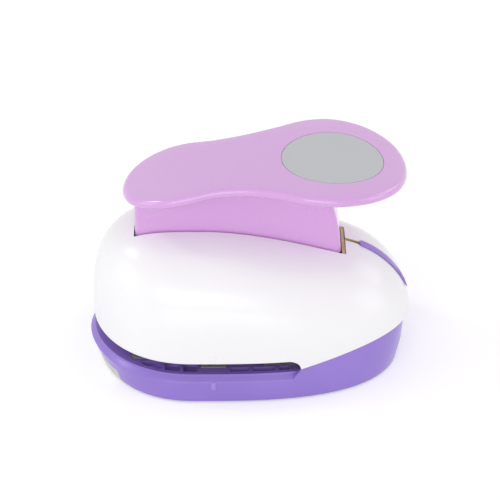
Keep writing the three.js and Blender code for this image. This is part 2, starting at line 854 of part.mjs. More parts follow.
function makeStripperPlate() {
  const plan = roundedPlan(plateFront, plateRear, plateHalf, plateCorner);
  const wingHalf = planHalfWidth(plateRear, wingInset, 0);
  const wings = new THREE.Shape([
    new THREE.Vector2(wingFront, -plateHalf),
    new THREE.Vector2(wingFront + wingRun, -wingHalf),
    new THREE.Vector2(plateRear, -wingHalf),
    new THREE.Vector2(plateRear, wingHalf),
    new THREE.Vector2(wingFront + wingRun, wingHalf),
    new THREE.Vector2(wingFront, plateHalf),
  ]);
  const middle = planForm(plan, stripperBottom, stripperTop);
  const sheet = join(middle, planForm(wings, stripperBottom, stripperTop));
  let body = plateHoles(sheet, stripperBottom, stripperTop);
  for (const place of guidePlaces) {
    body = cut(body, peg(place, postTailRadius + runFit, stripperBottom - overrun, stripperTop + overrun));
  }
  for (const place of frontScrewPlaces) {
    body = cut(
      body,
      peg(place, screwRadius + runFit, stripperBottom - overrun, stripperTop + overrun),
      peg(place, screwHeadRadius + runFit, stripperBottom - overrun, stripperBottom + screwHeadThick),
    );
  }
  for (const place of bracketRivetPlaces) {
    body = cut(body, peg(place, rivetRadius + runFit, stripperBottom - overrun, stripperTop + overrun));
  }
  return body;
}
addPiece('stripper_plate', makeStripperPlate(), darkSteel);

function makeSpacer() {
  let body = block(plateRear - spacerDepth, plateRear, -plateHalf, plateHalf, dieTop, stripperBottom);
  for (const place of rivetPlaces) {
    body = cut(body, peg(place, rivetRadius + runFit, dieTop - overrun, stripperBottom + overrun));
  }
  return body;
}
addPiece('plate_spacer', makeSpacer(), steel);

// Rivets and screws: a shank with a head at one or both ends
function rivet(place, z0, z1) {
  return join(
    peg(place, rivetRadius, z0 - rivetHeadThick / 2, z1 + rivetHeadThick / 2),
    peg(place, rivetHeadRadius, z0 - rivetHeadThick, z0),
    peg(place, rivetHeadRadius, z1, z1 + rivetHeadThick),
  );
}

function risingScrew(place, headZ, bite) {
  return join(
    peg(place, screwHeadRadius, headZ, headZ + screwHeadThick),
    peg(place, screwRadius, headZ + screwHeadThick / 2, headZ + screwHeadThick + bite),
  );
}

function sinkingScrew(place, headTop, bite) {
  return join(
    peg(place, screwHeadRadius, headTop - screwHeadThick, headTop),
    peg(place, screwRadius, headTop - screwHeadThick - bite, headTop - screwHeadThick / 2),
  );
}

for (const place of rivetPlaces) {
  addPiece(`plate_rivet_${place.name}`, rivet(place, dieBottom, stripperTop), steel);
}
const dieScrewBite = dieBottom - bedBottom + dieThick / 2;
for (const place of dieScrewPlaces) {
  addPiece(`die_screw_${place.name}`, risingScrew(place, bedBottom - screwHeadThick, dieScrewBite), steel);
}

// Punch and the holder above it
function makePunch() {
  let body = cut(
    post(dieX, 0, cutRadius - punchClearance, punchBottom, punchTop, fine),
    post(dieX, 0, punchBoreRadius, punchBottom - overrun, punchTop - punchCrown, medium),
  );
  for (const place of punchScrewPlaces) {
    body = cut(body, peg(place, screwRadius + runFit,
      punchTop - punchCrown + seatGap * 2, punchTop + overrun));
  }
  return body;
}
addPiece('punch', makePunch(), steel);

function makeHolder() {
  const armReach = Math.hypot(postSpreadX, postSpreadY);
  const armTurn = Math.atan2(postSpreadY, postSpreadX);
  const arms = [armTurn, -armTurn].map((turn) => {
    const arm = new THREE.BoxGeometry(armReach * 2, armHalf * 2, holderThick);
    arm.rotateZ(turn);
    arm.translate(dieX, 0, (holderBottom + holderTop) / 2);
    return solid(arm);
  });
  const lugs = guidePlaces.map((place) => post(place.x, place.y, lugRadius, holderBottom, holderTop));
  let body = join(post(dieX, 0, holderRadius, holderBottom, holderTop, fine), ...arms, ...lugs);
  for (const place of guidePlaces) {
    const bore = post(place.x, place.y, postRadius + runFit, holderBottom - overrun, holderTop + overrun);
    body = cut(body, bore);
  }
  for (const place of punchScrewPlaces) {
    body = cut(
      body,
      peg(place, screwRadius + runFit, holderBottom - overrun, holderTop + overrun),
      peg(place, screwHeadRadius + runFit, holderTop - screwHeadThick - runFit, holderTop + overrun),
    );
  }
  return body;
}
addPiece('punch_holder', makeHolder(), blackPlastic);
const punchScrewBite = holderThick - screwHeadThick + seatGap + punchCrown / 2;
for (const place of punchScrewPlaces) {
  addPiece(`punch_screw_${place.name}`, sinkingScrew(place, holderTop, punchScrewBite), steel);
}

// Guide posts with heads that stop the holder, and the springs round them
for (const place of guidePlaces) {
  const headBottom = holderTop + seatGap;
  const profile = [
    new THREE.Vector2(0, stripperBottom + seatGap),
    new THREE.Vector2(postTailRadius, stripperBottom + seatGap),
    new THREE.Vector2(postTailRadius, stripperTop),
    new THREE.Vector2(postRadius, stripperTop),
    new THREE.Vector2(postRadius, headBottom),
    new THREE.Vector2(postHeadRadius, headBottom),
    new THREE.Vector2(postHeadRadius, headBottom + postHeadThick),
    new THREE.Vector2(0, headBottom + postHeadThick),
  ];
  const turned = new THREE.LatheGeometry(profile, medium);
  turned.rotateX(Math.PI / 2);
  turned.translate(place.x, place.y, 0);
  addPiece(`guide_post_${place.name}`, solid(turned), steel);
}
const springBottom = stripperTop + springSeatGap;
const springTop = holderBottom - springSeatGap;
for (const place of guidePlaces) {
  const coil = solid(springGeometry(place.x, place.y, springBottom, springTop));
  addPiece(`return_spring_${place.name}`, coil, steel);
}
const coilGap = springLeastGap(springBottom, springTop);
console.log(`return spring: least gap between turns ${coilGap.toFixed(2)} mm`);

// Lever with its inlay, roller and axle
// The keeper's nose enters a window in the skirt's rear wall while the lever is down
function latchWindow() {
  const tipAngle = keeperNoseAngle - lockTravel;
  const band = arcBand(
    keeperInner - noseClearance,
    keeperOuter + noseClearance,
    tipAngle - (skirtWall + noseClearance) / keeperOuter,
    tipAngle + skirtWall / keeperOuter,
    keeperHalf + noseClearance,
    4,
  );
  const form = geometryOf(band);
  form.translate(-hingeX, 0, -hingeZ);
  form.rotateY(-pressAngle);
  form.translate(hingeX, 0, hingeZ);
  return solid(form);
}

function makeLever() {
  let body = join(leverPlate(), skirtBody());
  const cavityHalf = skirtHalf - skirtWall;
  const cavity = sideForm(skirtProfile(skirtWall, overrun * 2), -cavityHalf, cavityHalf);
  const underPlate = sideForm([
    ...plateLine(leverFront, leverRear, plateThick),
    new THREE.Vector2(leverRear, 0),
    new THREE.Vector2(leverFront, 0),
  ], -farOut, farOut);
  body = cut(body, cavity.intersect(underPlate));
  const aboveFloor = sideForm([
    ...plateLine(leverFront, leverRear, inlayThick + runFit),
    new THREE.Vector2(leverRear, leverTop + overrun),
    new THREE.Vector2(leverFront, leverTop + overrun),
  ], -farOut, farOut);
  const recess = post(inlayX, 0, inlayRadius + seatGap, hingeZ, leverTop + overrun, fine)
    .intersect(aboveFloor);
  return cut(
    body,
    recess,
    latchWindow(),
    crossBar(hingeX, hingeZ, hingeRadius + runFit, -skirtHalf - overrun, skirtHalf + overrun),
    crossBar(dieX, rollerZ, axleRadius + runFit, -skirtHalf - overrun, skirtHalf + overrun),
  );
}
addPiece('lever', makeLever(), lilacPlastic);

function makeInlay() {
  const slab = sideForm([
    ...plateLine(leverFront, leverRear, inlayThick),
    ...plateLine(leverRear, leverFront, 0),
  ], -farOut, farOut);
  return post(inlayX, 0, inlayRadius, hingeZ, leverTop + overrun, fine).intersect(slab);
}
addPiece('lever_inlay', makeInlay(), inlayFilm);

addPiece('press_roller', cut(
  crossBar(dieX, rollerZ, rollerRadius, -rollerHalf, rollerHalf, medium),
  crossBar(dieX, rollerZ, axleRadius + runFit, -rollerHalf - overrun, rollerHalf + overrun),
), steel);
const axleHalf = skirtHalf - seatGap;
addPiece('roller_axle', crossBar(dieX, rollerZ, axleRadius, -axleHalf, axleHalf), steel);

// Hinge bracket: a channel with two tall cheeks that carry the pin
const bracketOuter = bracketInner + steelWall;

function makeBracket() {
  const points = [
    new THREE.Vector2(bracketFront, stripperTop),
    new THREE.Vector2(bracketRear, stripperTop),
    new THREE.Vector2(hingeX + bracketRound, hingeZ),
  ];
  const roundSteps = 10;
  for (let i = 1; i < roundSteps; i++) {
    const turn = (Math.PI * i) / roundSteps;
    points.push(aroundHinge(bracketRound, turn));
  }
  points.push(new THREE.Vector2(hingeX - bracketRound, hingeZ));
  let body = cut(
    sideForm(points, -bracketOuter, bracketOuter),
    block(-farOut, farOut, -bracketInner, bracketInner, stripperTop + steelWall, farOut),
    crossBar(hingeX, hingeZ, hingeRadius + runFit, -farOut, farOut),
  );
  for (const place of bracketRivetPlaces) {
    body = cut(body, peg(place, rivetRadius + runFit, stripperTop - overrun, stripperTop + overrun));
  }
  return body;
}
addPiece('hinge_bracket', makeBracket(), zincSteel);
for (const place of bracketRivetPlaces) {
  const headZ = stripperTop + steelWall;
  addPiece(`bracket_rivet_${place.name}`, join(
    peg(place, rivetRadius, stripperBottom + seatGap, headZ + rivetHeadThick / 2),
    peg(place, rivetHeadRadius, headZ, headZ + rivetHeadThick),
  ), steel);
}

const pinTail = bracketOuter + seatGap * 2 + clipThick * 2;
const pinHeadY = -bracketOuter - seatGap;
const grooveRadius = hingeRadius - clipGroove;
addPiece('hinge_pin', cut(
  join(
    crossBar(hingeX, hingeZ, hingeRadius, pinHeadY - pinHeadThick / 2, pinTail),
    crossBar(hingeX, hingeZ, pinHeadRadius, pinHeadY - pinHeadThick, pinHeadY),
  ),
  cut(
    crossBar(hingeX, hingeZ, clipRadius, bracketOuter + runFit, bracketOuter + clipThick + seatGap * 2),
    crossBar(hingeX, hingeZ, grooveRadius, bracketOuter - overrun, bracketOuter + overrun * 2),
  ),
), steel);
addPiece('hinge_clip', cut(
  crossBar(hingeX, hingeZ, clipRadius, bracketOuter + seatGap, bracketOuter + seatGap + clipThick),
  crossBar(hingeX, hingeZ, grooveRadius + runFit, bracketOuter - overrun, bracketOuter + overrun * 2),
  block(hingeX - clipMouth / 2, hingeX + clipMouth / 2, bracketOuter, pinTail,
    hingeZ - clipRadius - overrun, hingeZ - clipMouth / 2),
), darkSteel);
for (const side of sides) {
  const middle = side.sign * (skirtHalf + bracketInner) / 2;
  addPiece(`hinge_washer_${side.name}`, cut(
    crossBar(hingeX, hingeZ, washerRadius, middle - washerThick / 2, middle + washerThick / 2),
    crossBar(hingeX, hingeZ, hingeRadius + runFit, middle - overrun, middle + overrun),
  ), blackPlastic);
}

// Rear guide: a channel that steadies the skirt. Its crown stands below the rear end
// of the slot and has a window for the keeper
const guideBottom = deckTop;
const guideRear = slotRear - seatGap;

function makeRearGuide() {
  const outer = guideInner + steelWall;
  const open = guideTop + overrun;
  const backFront = guideRear - steelWall;
  let body = cut(
    block(guideFront, guideRear, -outer, outer, guideBottom, guideTop),
    block(guideFront - overrun, backFront, -guideInner, guideInner, guideBottom + steelWall, open),
    sideForm([
      new THREE.Vector2(guideFront - overrun, guideBottom + steelWall * 4),
      new THREE.Vector2((guideFront + guideRear) / 2, open),
      new THREE.Vector2(guideFront - overrun, open),
    ], -farOut, farOut),
  );
  const crown = slotHalf - seatGap;
  body = join(body, block(backFront, guideRear, -crown, crown, guideTop - overrun, guideCrownTop));
  const windowHalf = keeperHalf + seatGap * 2;
  const window = arcBand(keeperInner - seatGap, keeperOuter + seatGap, 0, keeperNoseAngle, windowHalf, 8);
  body = cut(body, window);
  for (const place of guideScrewPlaces) {
    body = cut(body, peg(place, screwRadius + runFit, guideBottom - overrun, guideBottom + overrun));
  }
  return body;
}
addPiece('rear_guide', makeRearGuide(), zincSteel);
const guideScrewBite = deckThick + steelWall + rivetHeadThick;
for (const place of guideScrewPlaces) {
  const screw = risingScrew(place, deckBottom - screwHeadThick, guideScrewBite);
  addPiece(`guide_screw_${place.name}`, screw, steel);
}

// Cover
function makeCover() {
  const outer = domeBody(0, deckTop);
  const middle = domeBody(coverWall / 2, deckTop - overrun / 2);
  const inner = domeBody(coverWall, deckTop - overrun);
  let body = cut(outer, inner);
  for (const place of frontScrewPlaces) {
    body = join(body, peg(place, coverPostRadius, stripperTop + seatGap, crestTop).intersect(middle));
  }
  for (const place of rearScrewPlaces) {
    body = join(body, peg(place, coverPostRadius, deckTop + seatGap, crestTop).intersect(middle));
  }
  const edge = [
    new THREE.Vector2(-farOut, mouthEdgeZ),
    new THREE.Vector2(mouthRearX - mouthCornerRun, mouthEdgeZ),
    new THREE.Vector2(mouthRearX - mouthCornerRun / 2, mouthEdgeZ - seatGap * 3),
    ...partingLine(seatGap),
  ];
  const shellFoot = sideForm([
    ...edge,
    new THREE.Vector2(bodyRear + overrun, 0),
    new THREE.Vector2(-farOut, 0),
  ], -farOut, farOut);
  const postZones = [...frontScrewPlaces, ...rearScrewPlaces].map(
    (place) => peg(place, coverPostRadius + runFit, 0, crestTop),
  );
  body = cut(body, cut(shellFoot, ...postZones));
  for (const place of frontScrewPlaces) {
    body = cut(body, peg(place, screwRadius + runFit, stripperBottom, stripperTop + screwBite + seatGap));
  }
  for (const place of rearScrewPlaces) {
    body = cut(body, peg(place, screwRadius + runFit, deckBottom, deckTop + screwBite + seatGap));
  }
  const slot = block(slotFront, slotRear, -slotHalf, slotHalf, hingeZ - bracketRound, crestTop + overrun);
  const slitEndX = rearArcX + rearArcRadius * Math.sin(neckEndAngle + lockTravel / 4);
  const slitBottom = springZ + rearArcRadius / 2;
  const slit = block(slotRear - overrun, slitEndX, -slitHalf, slitHalf, slitBottom, crestTop);
  const mark = domeBody(-markProud, deckTop)
    .intersect(block(dieX - markHalf, dieX + markHalf, -farOut, farOut, mouthEdgeZ, mouthEdgeZ + markTall))
    .subtract(middle);
  return join(cut(body, slot, slit), mark);
}
addPiece('cover', makeCover(), whitePlastic);
for (const place of frontScrewPlaces) {
  addPiece(`cover_screw_front_${place.name}`, risingScrew(place, stripperBottom, screwBite), steel);
}
for (const place of rearScrewPlaces) {
  const screw = risingScrew(place, deckBottom - screwHeadThick, deckThick + screwBite);
  addPiece(`cover_screw_rear_${place.name}`, screw, steel);
}

// Lock: a thumb strip outside, a neck through the slit and a keeper inside
function makeLockSlider() {
  const roundTurn = lockHalf / rearArcRadius;
  const strip = arcBand(lockInner, lockOuter, lockTopAngle + roundTurn, lockEndAngle, lockHalf);
  const tipFrom = lockTopAngle - roundTurn;
  const tipTo = lockTopAngle + roundTurn * 2;
  const tip = arcSpoke(lockTopAngle + roundTurn, lockHalf, lockInner, lockOuter)
    .intersect(arcBand(lockInner, lockOuter, tipFrom, tipTo, lockHalf * 2));
  const neckInner = keeperOuter + seatGap / 2;
  const neck = arcBand(neckInner, lockInner + lockProud / 2, neckTopAngle, neckEndAngle, neckHalf, 4);
  const holeRadius = screwRadius / 2 + runFit;
  const screwHole = arcSpoke(lockScrewAngle, holeRadius, keeperInner, lockInner + lockProud / 4, coarse);
  return cut(join(strip, tip, neck), screwHole);
}
addPiece('lock_slider', makeLockSlider(), purplePlastic);
addPiece('lock_keeper', cut(
  arcBand(keeperInner, keeperOuter, keeperNoseAngle, keeperEndAngle, keeperHalf, 8),
  arcSpoke(lockScrewAngle, screwRadius / 2 + runFit, keeperInner - overrun, keeperOuter + overrun, coarse),
), zincSteel);
const lockScrewSeat = keeperInner - runFit;
addPiece('lock_screw', join(
  arcSpoke(lockScrewAngle, screwRadius / 2, keeperInner - screwHeadThick / 2, lockInner, coarse),
  arcSpoke(lockScrewAngle, screwRadius * 1.5, lockScrewSeat - screwHeadThick, lockScrewSeat, coarse),
), steel);

// Feet
for (const place of footPlaces) {
  addPiece(`foot_${place.name}`, post(place.x, place.y, footRadius, 0, footThick), rubber);
}

// The footprint's middle is the origin
const extent = new THREE.Box3().setFromObject(punchMachine);
punchMachine.position.x = -(extent.min.x + extent.max.x) / 2;

export default punchMachine;
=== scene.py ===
import math
import bpy
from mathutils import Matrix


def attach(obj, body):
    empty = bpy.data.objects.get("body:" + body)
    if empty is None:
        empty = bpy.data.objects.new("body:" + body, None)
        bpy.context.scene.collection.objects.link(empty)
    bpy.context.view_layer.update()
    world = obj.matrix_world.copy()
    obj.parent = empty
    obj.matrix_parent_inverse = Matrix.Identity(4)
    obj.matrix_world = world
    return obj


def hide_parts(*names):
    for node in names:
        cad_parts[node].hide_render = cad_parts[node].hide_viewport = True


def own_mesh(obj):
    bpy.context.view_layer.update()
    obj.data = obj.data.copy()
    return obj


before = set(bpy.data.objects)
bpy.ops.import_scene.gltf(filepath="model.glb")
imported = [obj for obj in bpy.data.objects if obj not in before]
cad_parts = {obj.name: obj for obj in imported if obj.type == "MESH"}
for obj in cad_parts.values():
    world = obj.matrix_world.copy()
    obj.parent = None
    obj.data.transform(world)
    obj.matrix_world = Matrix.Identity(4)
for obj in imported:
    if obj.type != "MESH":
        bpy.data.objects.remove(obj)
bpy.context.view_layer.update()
bpy.ops.object.select_all(action="DESELECT")

# Base
# The lower half of the case: one shell of purple ABS, injection moulded with a satin skin. Its
# lip guides the sheet into the mouth, and behind the mouth the wall rises to carry the cover.
MM = 0.001
WELD = 0.002
BODY_FRONT, BODY_REAR, BODY_HALF = -82.114, 83.286, 51.5
WIDEST_X = -27.314
FRONT_FULLNESS, FRONT_ROUNDNESS = 2.19, 0.543
REAR_FULLNESS, REAR_ROUNDNESS = 2.85, 0.419
OUTLINE_STEPS = 96
THROAT_FOOT, THROAT_TOP = 21.786, 25.786
THROAT_STATIONS = [17.5 + 0.5 * i for i in range(23)]
STATION_CLEARANCE = 0.004


def half_width(x, inset=0.0, lean=(0.0, 0.0)):
    """Half width of the body at x, drawn in by inset, with its front and rear ends pulled in by lean."""
    if x < WIDEST_X:
        reach = WIDEST_X - BODY_FRONT - inset - lean[0]
        fullness, roundness = FRONT_FULLNESS, FRONT_ROUNDNESS
    else:
        reach = BODY_REAR - WIDEST_X - inset - lean[1]
        fullness, roundness = REAR_FULLNESS, REAR_ROUNDNESS
    along = min(abs(x - WIDEST_X) / reach, 1.0)
    return (BODY_HALF - inset) * (1.0 - along ** fullness) ** roundness


def stations():
    """Shares of the body's length at which its outline is drawn, closer together at the throat."""
    shares = [(1.0 - math.cos(math.pi * i / OUTLINE_STEPS)) / 2.0 for i in range(OUTLINE_STEPS + 1)]
    throat = [(x - BODY_FRONT) / (BODY_REAR - BODY_FRONT) for x in THROAT_STATIONS]
    first, last = throat[0] - STATION_CLEARANCE, throat[-1] + STATION_CLEARANCE
    return sorted([share for share in shares if not first < share < last] + throat)


def outline(inset=0.0, lean=(0.0, 0.0)):
    """The egg-shaped outline in millimetres, from the front nose along the right side and back."""
    front, rear = BODY_FRONT + inset + lean[0], BODY_REAR - inset - lean[1]
    right = []
    for share in stations():
        x = front + (rear - front) * share
        y = 0.0 if share in (0.0, 1.0) else -half_width(x, inset, lean)
        right.append((x, y))
    return right + [(x, -y) for x, y in reversed(right[:-1])]


WALL = 2.4
FOOT_Z = 0.6
BED_BOTTOM, DECK_BOTTOM, DECK_TOP = 9.7, 13.5, 15.7
LIP_STEP, LIP_RUN = 12.5, 4.2
RIM_Z = 18.0
FRONT_DRAFT, REAR_DRAFT, REAR_TUCK = 4.8, 5.4, 1.2
DRAFT_TOP, DRAFT_EASE = 32.1, 1.3
PARTING_START, PARTING_RISE, PARTING_OVERRUN = 18.25, 10.85, 3.0


def wall_lean(z):
    """How far the front and the rear of the base's wall lean in at a height."""
    front = FRONT_DRAFT * min(max(1.0 - z / LIP_STEP, 0.0), 1.0)
    rear = REAR_TUCK + REAR_DRAFT * min(max(1.0 - z / DRAFT_TOP, 0.0), 1.0) ** DRAFT_EASE
    return front, rear


def parting_height(x):
    """Height of the base's rim, which climbs out of the throat and then runs up to the rear."""
    if x < THROAT_TOP:
        return LIP_STEP + (PARTING_START - LIP_STEP) * (x - THROAT_FOOT) / (THROAT_TOP - THROAT_FOOT)
    run = BODY_REAR + PARTING_OVERRUN - THROAT_TOP
    return PARTING_START + PARTING_RISE * math.sin(math.pi / 2.0 * (x - THROAT_TOP) / run)


def ring_at(inset, z):
    """A level ring of the wall."""
    return [(x, y, z) for x, y in outline(inset, wall_lean(z))]


def rim_ring(inset, drop, rear_only=False):
    """A ring on top of the wall, on the sloping lip in front and on the rim behind, or on the level
    deck once it lies inside the wall. A drop lowers it all round, or behind the throat only."""
    ring = []
    for x, y in outline(inset, wall_lean(RIM_Z)):
        behind = x > THROAT_FOOT
        height = LIP_STEP + (DECK_TOP - LIP_STEP) * min(inset / LIP_RUN, 1.0)
        if inset > WALL:
            height = DECK_TOP
        elif behind:
            height = max(height, parting_height(x))
        ring.append((x, y, height - drop if behind or not rear_only else height))
    return ring


def shell_from_rings(name, rings, closed=True):
    """A grid whose rows are set on the rings, with its seam welded and, where closed, its ends filled."""
    columns, rows = len(rings[0]) - 1, len(rings) - 1
    bpy.ops.object.select_all(action="DESELECT")
    bpy.ops.mesh.primitive_grid_add(x_subdivisions=columns, y_subdivisions=rows, size=1.0)
    shell = bpy.context.object
    shell.name = name
    shell.data.vertices.foreach_set("co", [c * MM for ring in rings for point in ring for c in point])
    bpy.ops.object.mode_set(mode="EDIT")
    bpy.ops.mesh.select_all(action="SELECT")
    bpy.ops.mesh.remove_doubles(threshold=WELD * MM)
    if closed:
        bpy.ops.mesh.select_all(action="DESELECT")
        bpy.ops.mesh.select_non_manifold(extend=False)
        bpy.ops.mesh.fill_holes(sides=0)
        bpy.ops.mesh.select_all(action="SELECT")
    bpy.ops.mesh.normals_make_consistent(inside=False)
    bpy.ops.object.mode_set(mode="OBJECT")
    return shell


# The inside of the shell, its foot and its wall, each as an inset and a height
WALL_RINGS = [(WALL, BED_BOTTOM), (WALL, 1.1), (WALL - 0.15, 0.75), (WALL - 0.5, FOOT_Z), (0.7, FOOT_Z),
              (0.2, 0.8), (0.0, 1.3), (0.0, 3.5), (0.0, 6.0), (0.0, 8.5), (0.0, 11.0)]
# The rounded lip, the rim's inner edge and the deck, each as an inset and a drop
LIP_RINGS = [(0.0, 0.3), (0.04, 0.13), (0.15, 0.03), (0.3, 0.0), (1.2, 0.0), (1.8, 0.0)]
RIM_RINGS = [(2.2, 0.04), (WALL, 0.25)]
DECK_RINGS = [(WALL + 0.02, 0.0), (3.0, 0.0), (3.6, 0.0), (4.05, 0.02), (4.5, 0.0), (5.4, 0.0)]
base_rings = [ring_at(inset, z) for inset, z in WALL_RINGS]
base_rings += [rim_ring(inset, drop) for inset, drop in LIP_RINGS]
base_rings += [rim_ring(inset, drop, rear_only=True) for inset, drop in RIM_RINGS]
base_rings += [rim_ring(inset, drop) for inset, drop in DECK_RINGS]
base = shell_from_rings("base_shell", base_rings)


def box_piece(x0, x1, y0, y1, z0, z1, round_by=0.0, upright_only=False):
    """A block between two corners in millimetres, with its edges rounded."""
    centre = ((x0 + x1) / 2 * MM, (y0 + y1) / 2 * MM, (z0 + z1) / 2 * MM)
    bpy.ops.object.select_all(action="DESELECT")
    bpy.ops.mesh.primitive_cube_add(size=1.0, location=centre)
    block = bpy.context.object
    block.scale = ((x1 - x0) * MM, (y1 - y0) * MM, (z1 - z0) * MM)
    bpy.ops.object.transform_apply(location=True, rotation=True, scale=True)
    if round_by:
        for edge in block.data.edges:
            ends = [block.data.vertices[i].co for i in edge.vertices]
            upright = abs(ends[0].z - ends[1].z) > abs(z1 - z0) * MM / 2
            edge.select = upright or not upright_only
        bpy.ops.object.mode_set(mode="EDIT")
        bpy.ops.mesh.select_mode(type="EDGE")
        bpy.ops.mesh.bevel(offset=round_by * MM, segments=4, affect="EDGES")
        bpy.ops.object.mode_set(mode="OBJECT")
    return block


def box_pair(x0, x1, y0, y1, z0, z1, round_by=0.0, upright_only=False):
    """The same block on either side of the body."""
    return [box_piece(x0, x1, y0, y1, z0, z1, round_by, upright_only),
            box_piece(x0, x1, -y1, -y0, z0, z1, round_by, upright_only)]


def bar_piece(x, y, z, radius, length, across=False, sides=48):
    """A round bar about its middle, in millimetres, upright or across the body."""
    turn = (math.pi / 2, 0, 0) if across else (0, 0, 0)
    centre = (x * MM, y * MM, z * MM)
    bpy.ops.object.select_all(action="DESELECT")
    bpy.ops.mesh.primitive_cylinder_add(
        vertices=sides, radius=radius * MM, depth=length * MM, location=centre, rotation=turn)
    bpy.ops.object.transform_apply(location=True, rotation=True, scale=True)
    return bpy.context.object


def bar_pair(x, y, z, radius, length, sides=48):
    """The same upright bar on either side of the body."""
    return [bar_piece(x, side * y, z, radius, length, sides=sides) for side in (1, -1)]


def body_slab(inset, z0, z1):
    """A flat slab of the body's outline."""
    return shell_from_rings("slab", [[(x, y, z) for x, y in outline(inset)] for z in (z0, z1)])


def pick(*pieces):
    """These objects alone are selected, and the first of them is active."""
    bpy.ops.object.select_all(action="DESELECT")
    for piece in pieces:
        piece.select_set(True)
    bpy.context.view_layer.objects.active = pieces[0]


def joined(pieces):
    """Pieces that stay apart from each other are put in one object."""
    pick(*pieces)
    bpy.ops.object.join()
    return pieces[0]


def apply_step(piece, kind, **settings):
    """Adds a modifier with its settings and applies it."""
    pick(piece)
    step = piece.modifiers.new("step", kind)
    for name, value in settings.items():
        setattr(step, name, value)
    bpy.ops.object.modifier_apply(modifier=step.name)


def combine(piece, other, operation):
    """Joins or cuts a piece with another one, which is used up."""
    apply_step(piece, "BOOLEAN", operation=operation, solver="EXACT", object=other)
    bpy.data.objects.remove(other)
    return piece


# The hollow behind the throat, the bosses of the feet and the hooks of the waste lid's bar
PAST_END, PAST_SIDE, ABOVE_DECK = 90.0, 60.0, 18.0
FEET = [(-43.714, 41.175), (49.286, 32.966)]
BOSS_Z, BOSS_RADIUS, BOSS_HEIGHT = 6.8, 6.7, 12.0
FOOT_POCKET_Z, FOOT_POCKET_RADIUS, FOOT_POCKET_HEIGHT = -0.9, 5.8, 4.2
LID_BAR_X, LID_BAR_Z, LID_BAR_RADIUS, LID_BAR_LENGTH = 33.486, 2.4, 1.2, 50.0
HOOK_INNER, HOOK_OUTER, HOOK_TOP = 19.1, 23.1, 14.0
LID_LOW, LID_TOP, LID_HALF = 0.8, 7.0, 33.975
rear_hollow = shell_from_rings("rear_hollow", [ring_at(WALL, z) for z in (BED_BOTTOM - 0.5, DECK_BOTTOM)])
combine(rear_hollow, box_piece(THROAT_TOP, PAST_END, -PAST_SIDE, PAST_SIDE, 5.0, 20.0), "INTERSECT")
combine(base, rear_hollow, "DIFFERENCE")
for x, y in FEET:
    for boss in bar_pair(x, y, BOSS_Z, BOSS_RADIUS, BOSS_HEIGHT):
        combine(base, boss, "UNION")
for hook in box_pair(LID_BAR_X - 2.6, LID_BAR_X + 2.4, HOOK_INNER, HOOK_OUTER, LID_LOW, HOOK_TOP):
    combine(base, hook, "UNION")
for x, y in FEET:
    for pocket in bar_pair(x, y, FOOT_POCKET_Z, FOOT_POCKET_RADIUS, FOOT_POCKET_HEIGHT):
        combine(base, pocket, "DIFFERENCE")

# The bed of the die plate and of its two ears, 0.3 mm wider than the plate, and the hole below it
DIE_X, DIE_BOTTOM, DROP_RADIUS = -17.714, 12.0, 26.4
BED_FRONT, BED_REAR, BED_HALF, BED_CORNER = -59.514, 23.586, 35.8, 2.5
EAR_BED_HALF, EAR_BED_REACH = 6.7, 43.7
combine(base, box_piece(BED_FRONT, BED_REAR, -BED_HALF, BED_HALF, DIE_BOTTOM, ABOVE_DECK, BED_CORNER, True),
        "DIFFERENCE")
combine(base, box_piece(DIE_X - EAR_BED_HALF, DIE_X + EAR_BED_HALF, -EAR_BED_REACH, EAR_BED_REACH,
                        DIE_BOTTOM, ABOVE_DECK), "DIFFERENCE")
combine(base, bar_piece(DIE_X, 0.0, 11.0, DROP_RADIUS, 12.0, sides=96), "DIFFERENCE")

# The pockets that lighten the deck beside the die, between moulded ribs; the rear ones are narrow
FRONT_POCKETS = [(-53.55, -43.57), (-42.03, -34.61), (-32.82, -25.65)]
REAR_POCKETS = [(-9.39, -0.05), (2.0, 13.01), (15.05, 20.05)]
POCKET_INNER, POCKET_FLOOR, POCKET_CORNER = 37.9, 12.5, 0.5
POCKET_EDGE, NARROW_POCKET_EDGE = 4.75, 8.0
for places in (FRONT_POCKETS, REAR_POCKETS):
    blocks = []
    for x0, x1 in places:
        blocks += box_pair(x0, x1, POCKET_INNER, 52.0, POCKET_FLOOR, ABOVE_DECK, POCKET_CORNER, True)
    pockets = combine(joined(blocks), body_slab(POCKET_EDGE, 11.0, 20.0), "INTERSECT")
    if places is REAR_POCKETS:
        combine(pockets, body_slab(NARROW_POCKET_EDGE, 10.0, 21.0), "DIFFERENCE")
    combine(base, pockets, "DIFFERENCE")

# The opening for the waste lid's front edge, the bore for its bar, and the screw and rivet holes
OPENING_REAR, LID_GAP, BAR_PLAY = -55.814, 0.3, 0.08
REAR_COVER_POST = (63.286, 18.0)
SCREW_PLACES = [(-53.214, 14.5), REAR_COVER_POST, (36.886, 6.3)]
RIVET_X, RIVET_SIDES = 18.286, (-28.4, -12.4, 12.4, 28.4)
opening_half = LID_HALF + LID_GAP
combine(base, box_piece(-PAST_END, OPENING_REAR, -opening_half, opening_half, -3.0, LID_TOP + LID_GAP, 0.9),
        "DIFFERENCE")
combine(base, bar_piece(LID_BAR_X, 0.0, LID_BAR_Z, LID_BAR_RADIUS + BAR_PLAY, LID_BAR_LENGTH + 2 * LID_GAP,
                        across=True, sides=24), "DIFFERENCE")
holes = []
for x, y in SCREW_PLACES:
    holes += bar_pair(x, y, 12.0, 1.5, 9.0, sides=24)
holes += [bar_piece(RIVET_X, y, 10.0, 3.3, 6.0, sides=24) for y in RIVET_SIDES]
combine(base, joined(holes), "DIFFERENCE")


def colour(hex_value):
    """An sRGB hex value as linear colour."""
    channels = [((hex_value >> shift) & 255) / 255.0 for shift in (16, 8, 0)]
    linear = [c / 12.92 if c <= 0.04045 else ((c + 0.055) / 1.055) ** 2.4 for c in channels]
    return (*linear, 1.0)


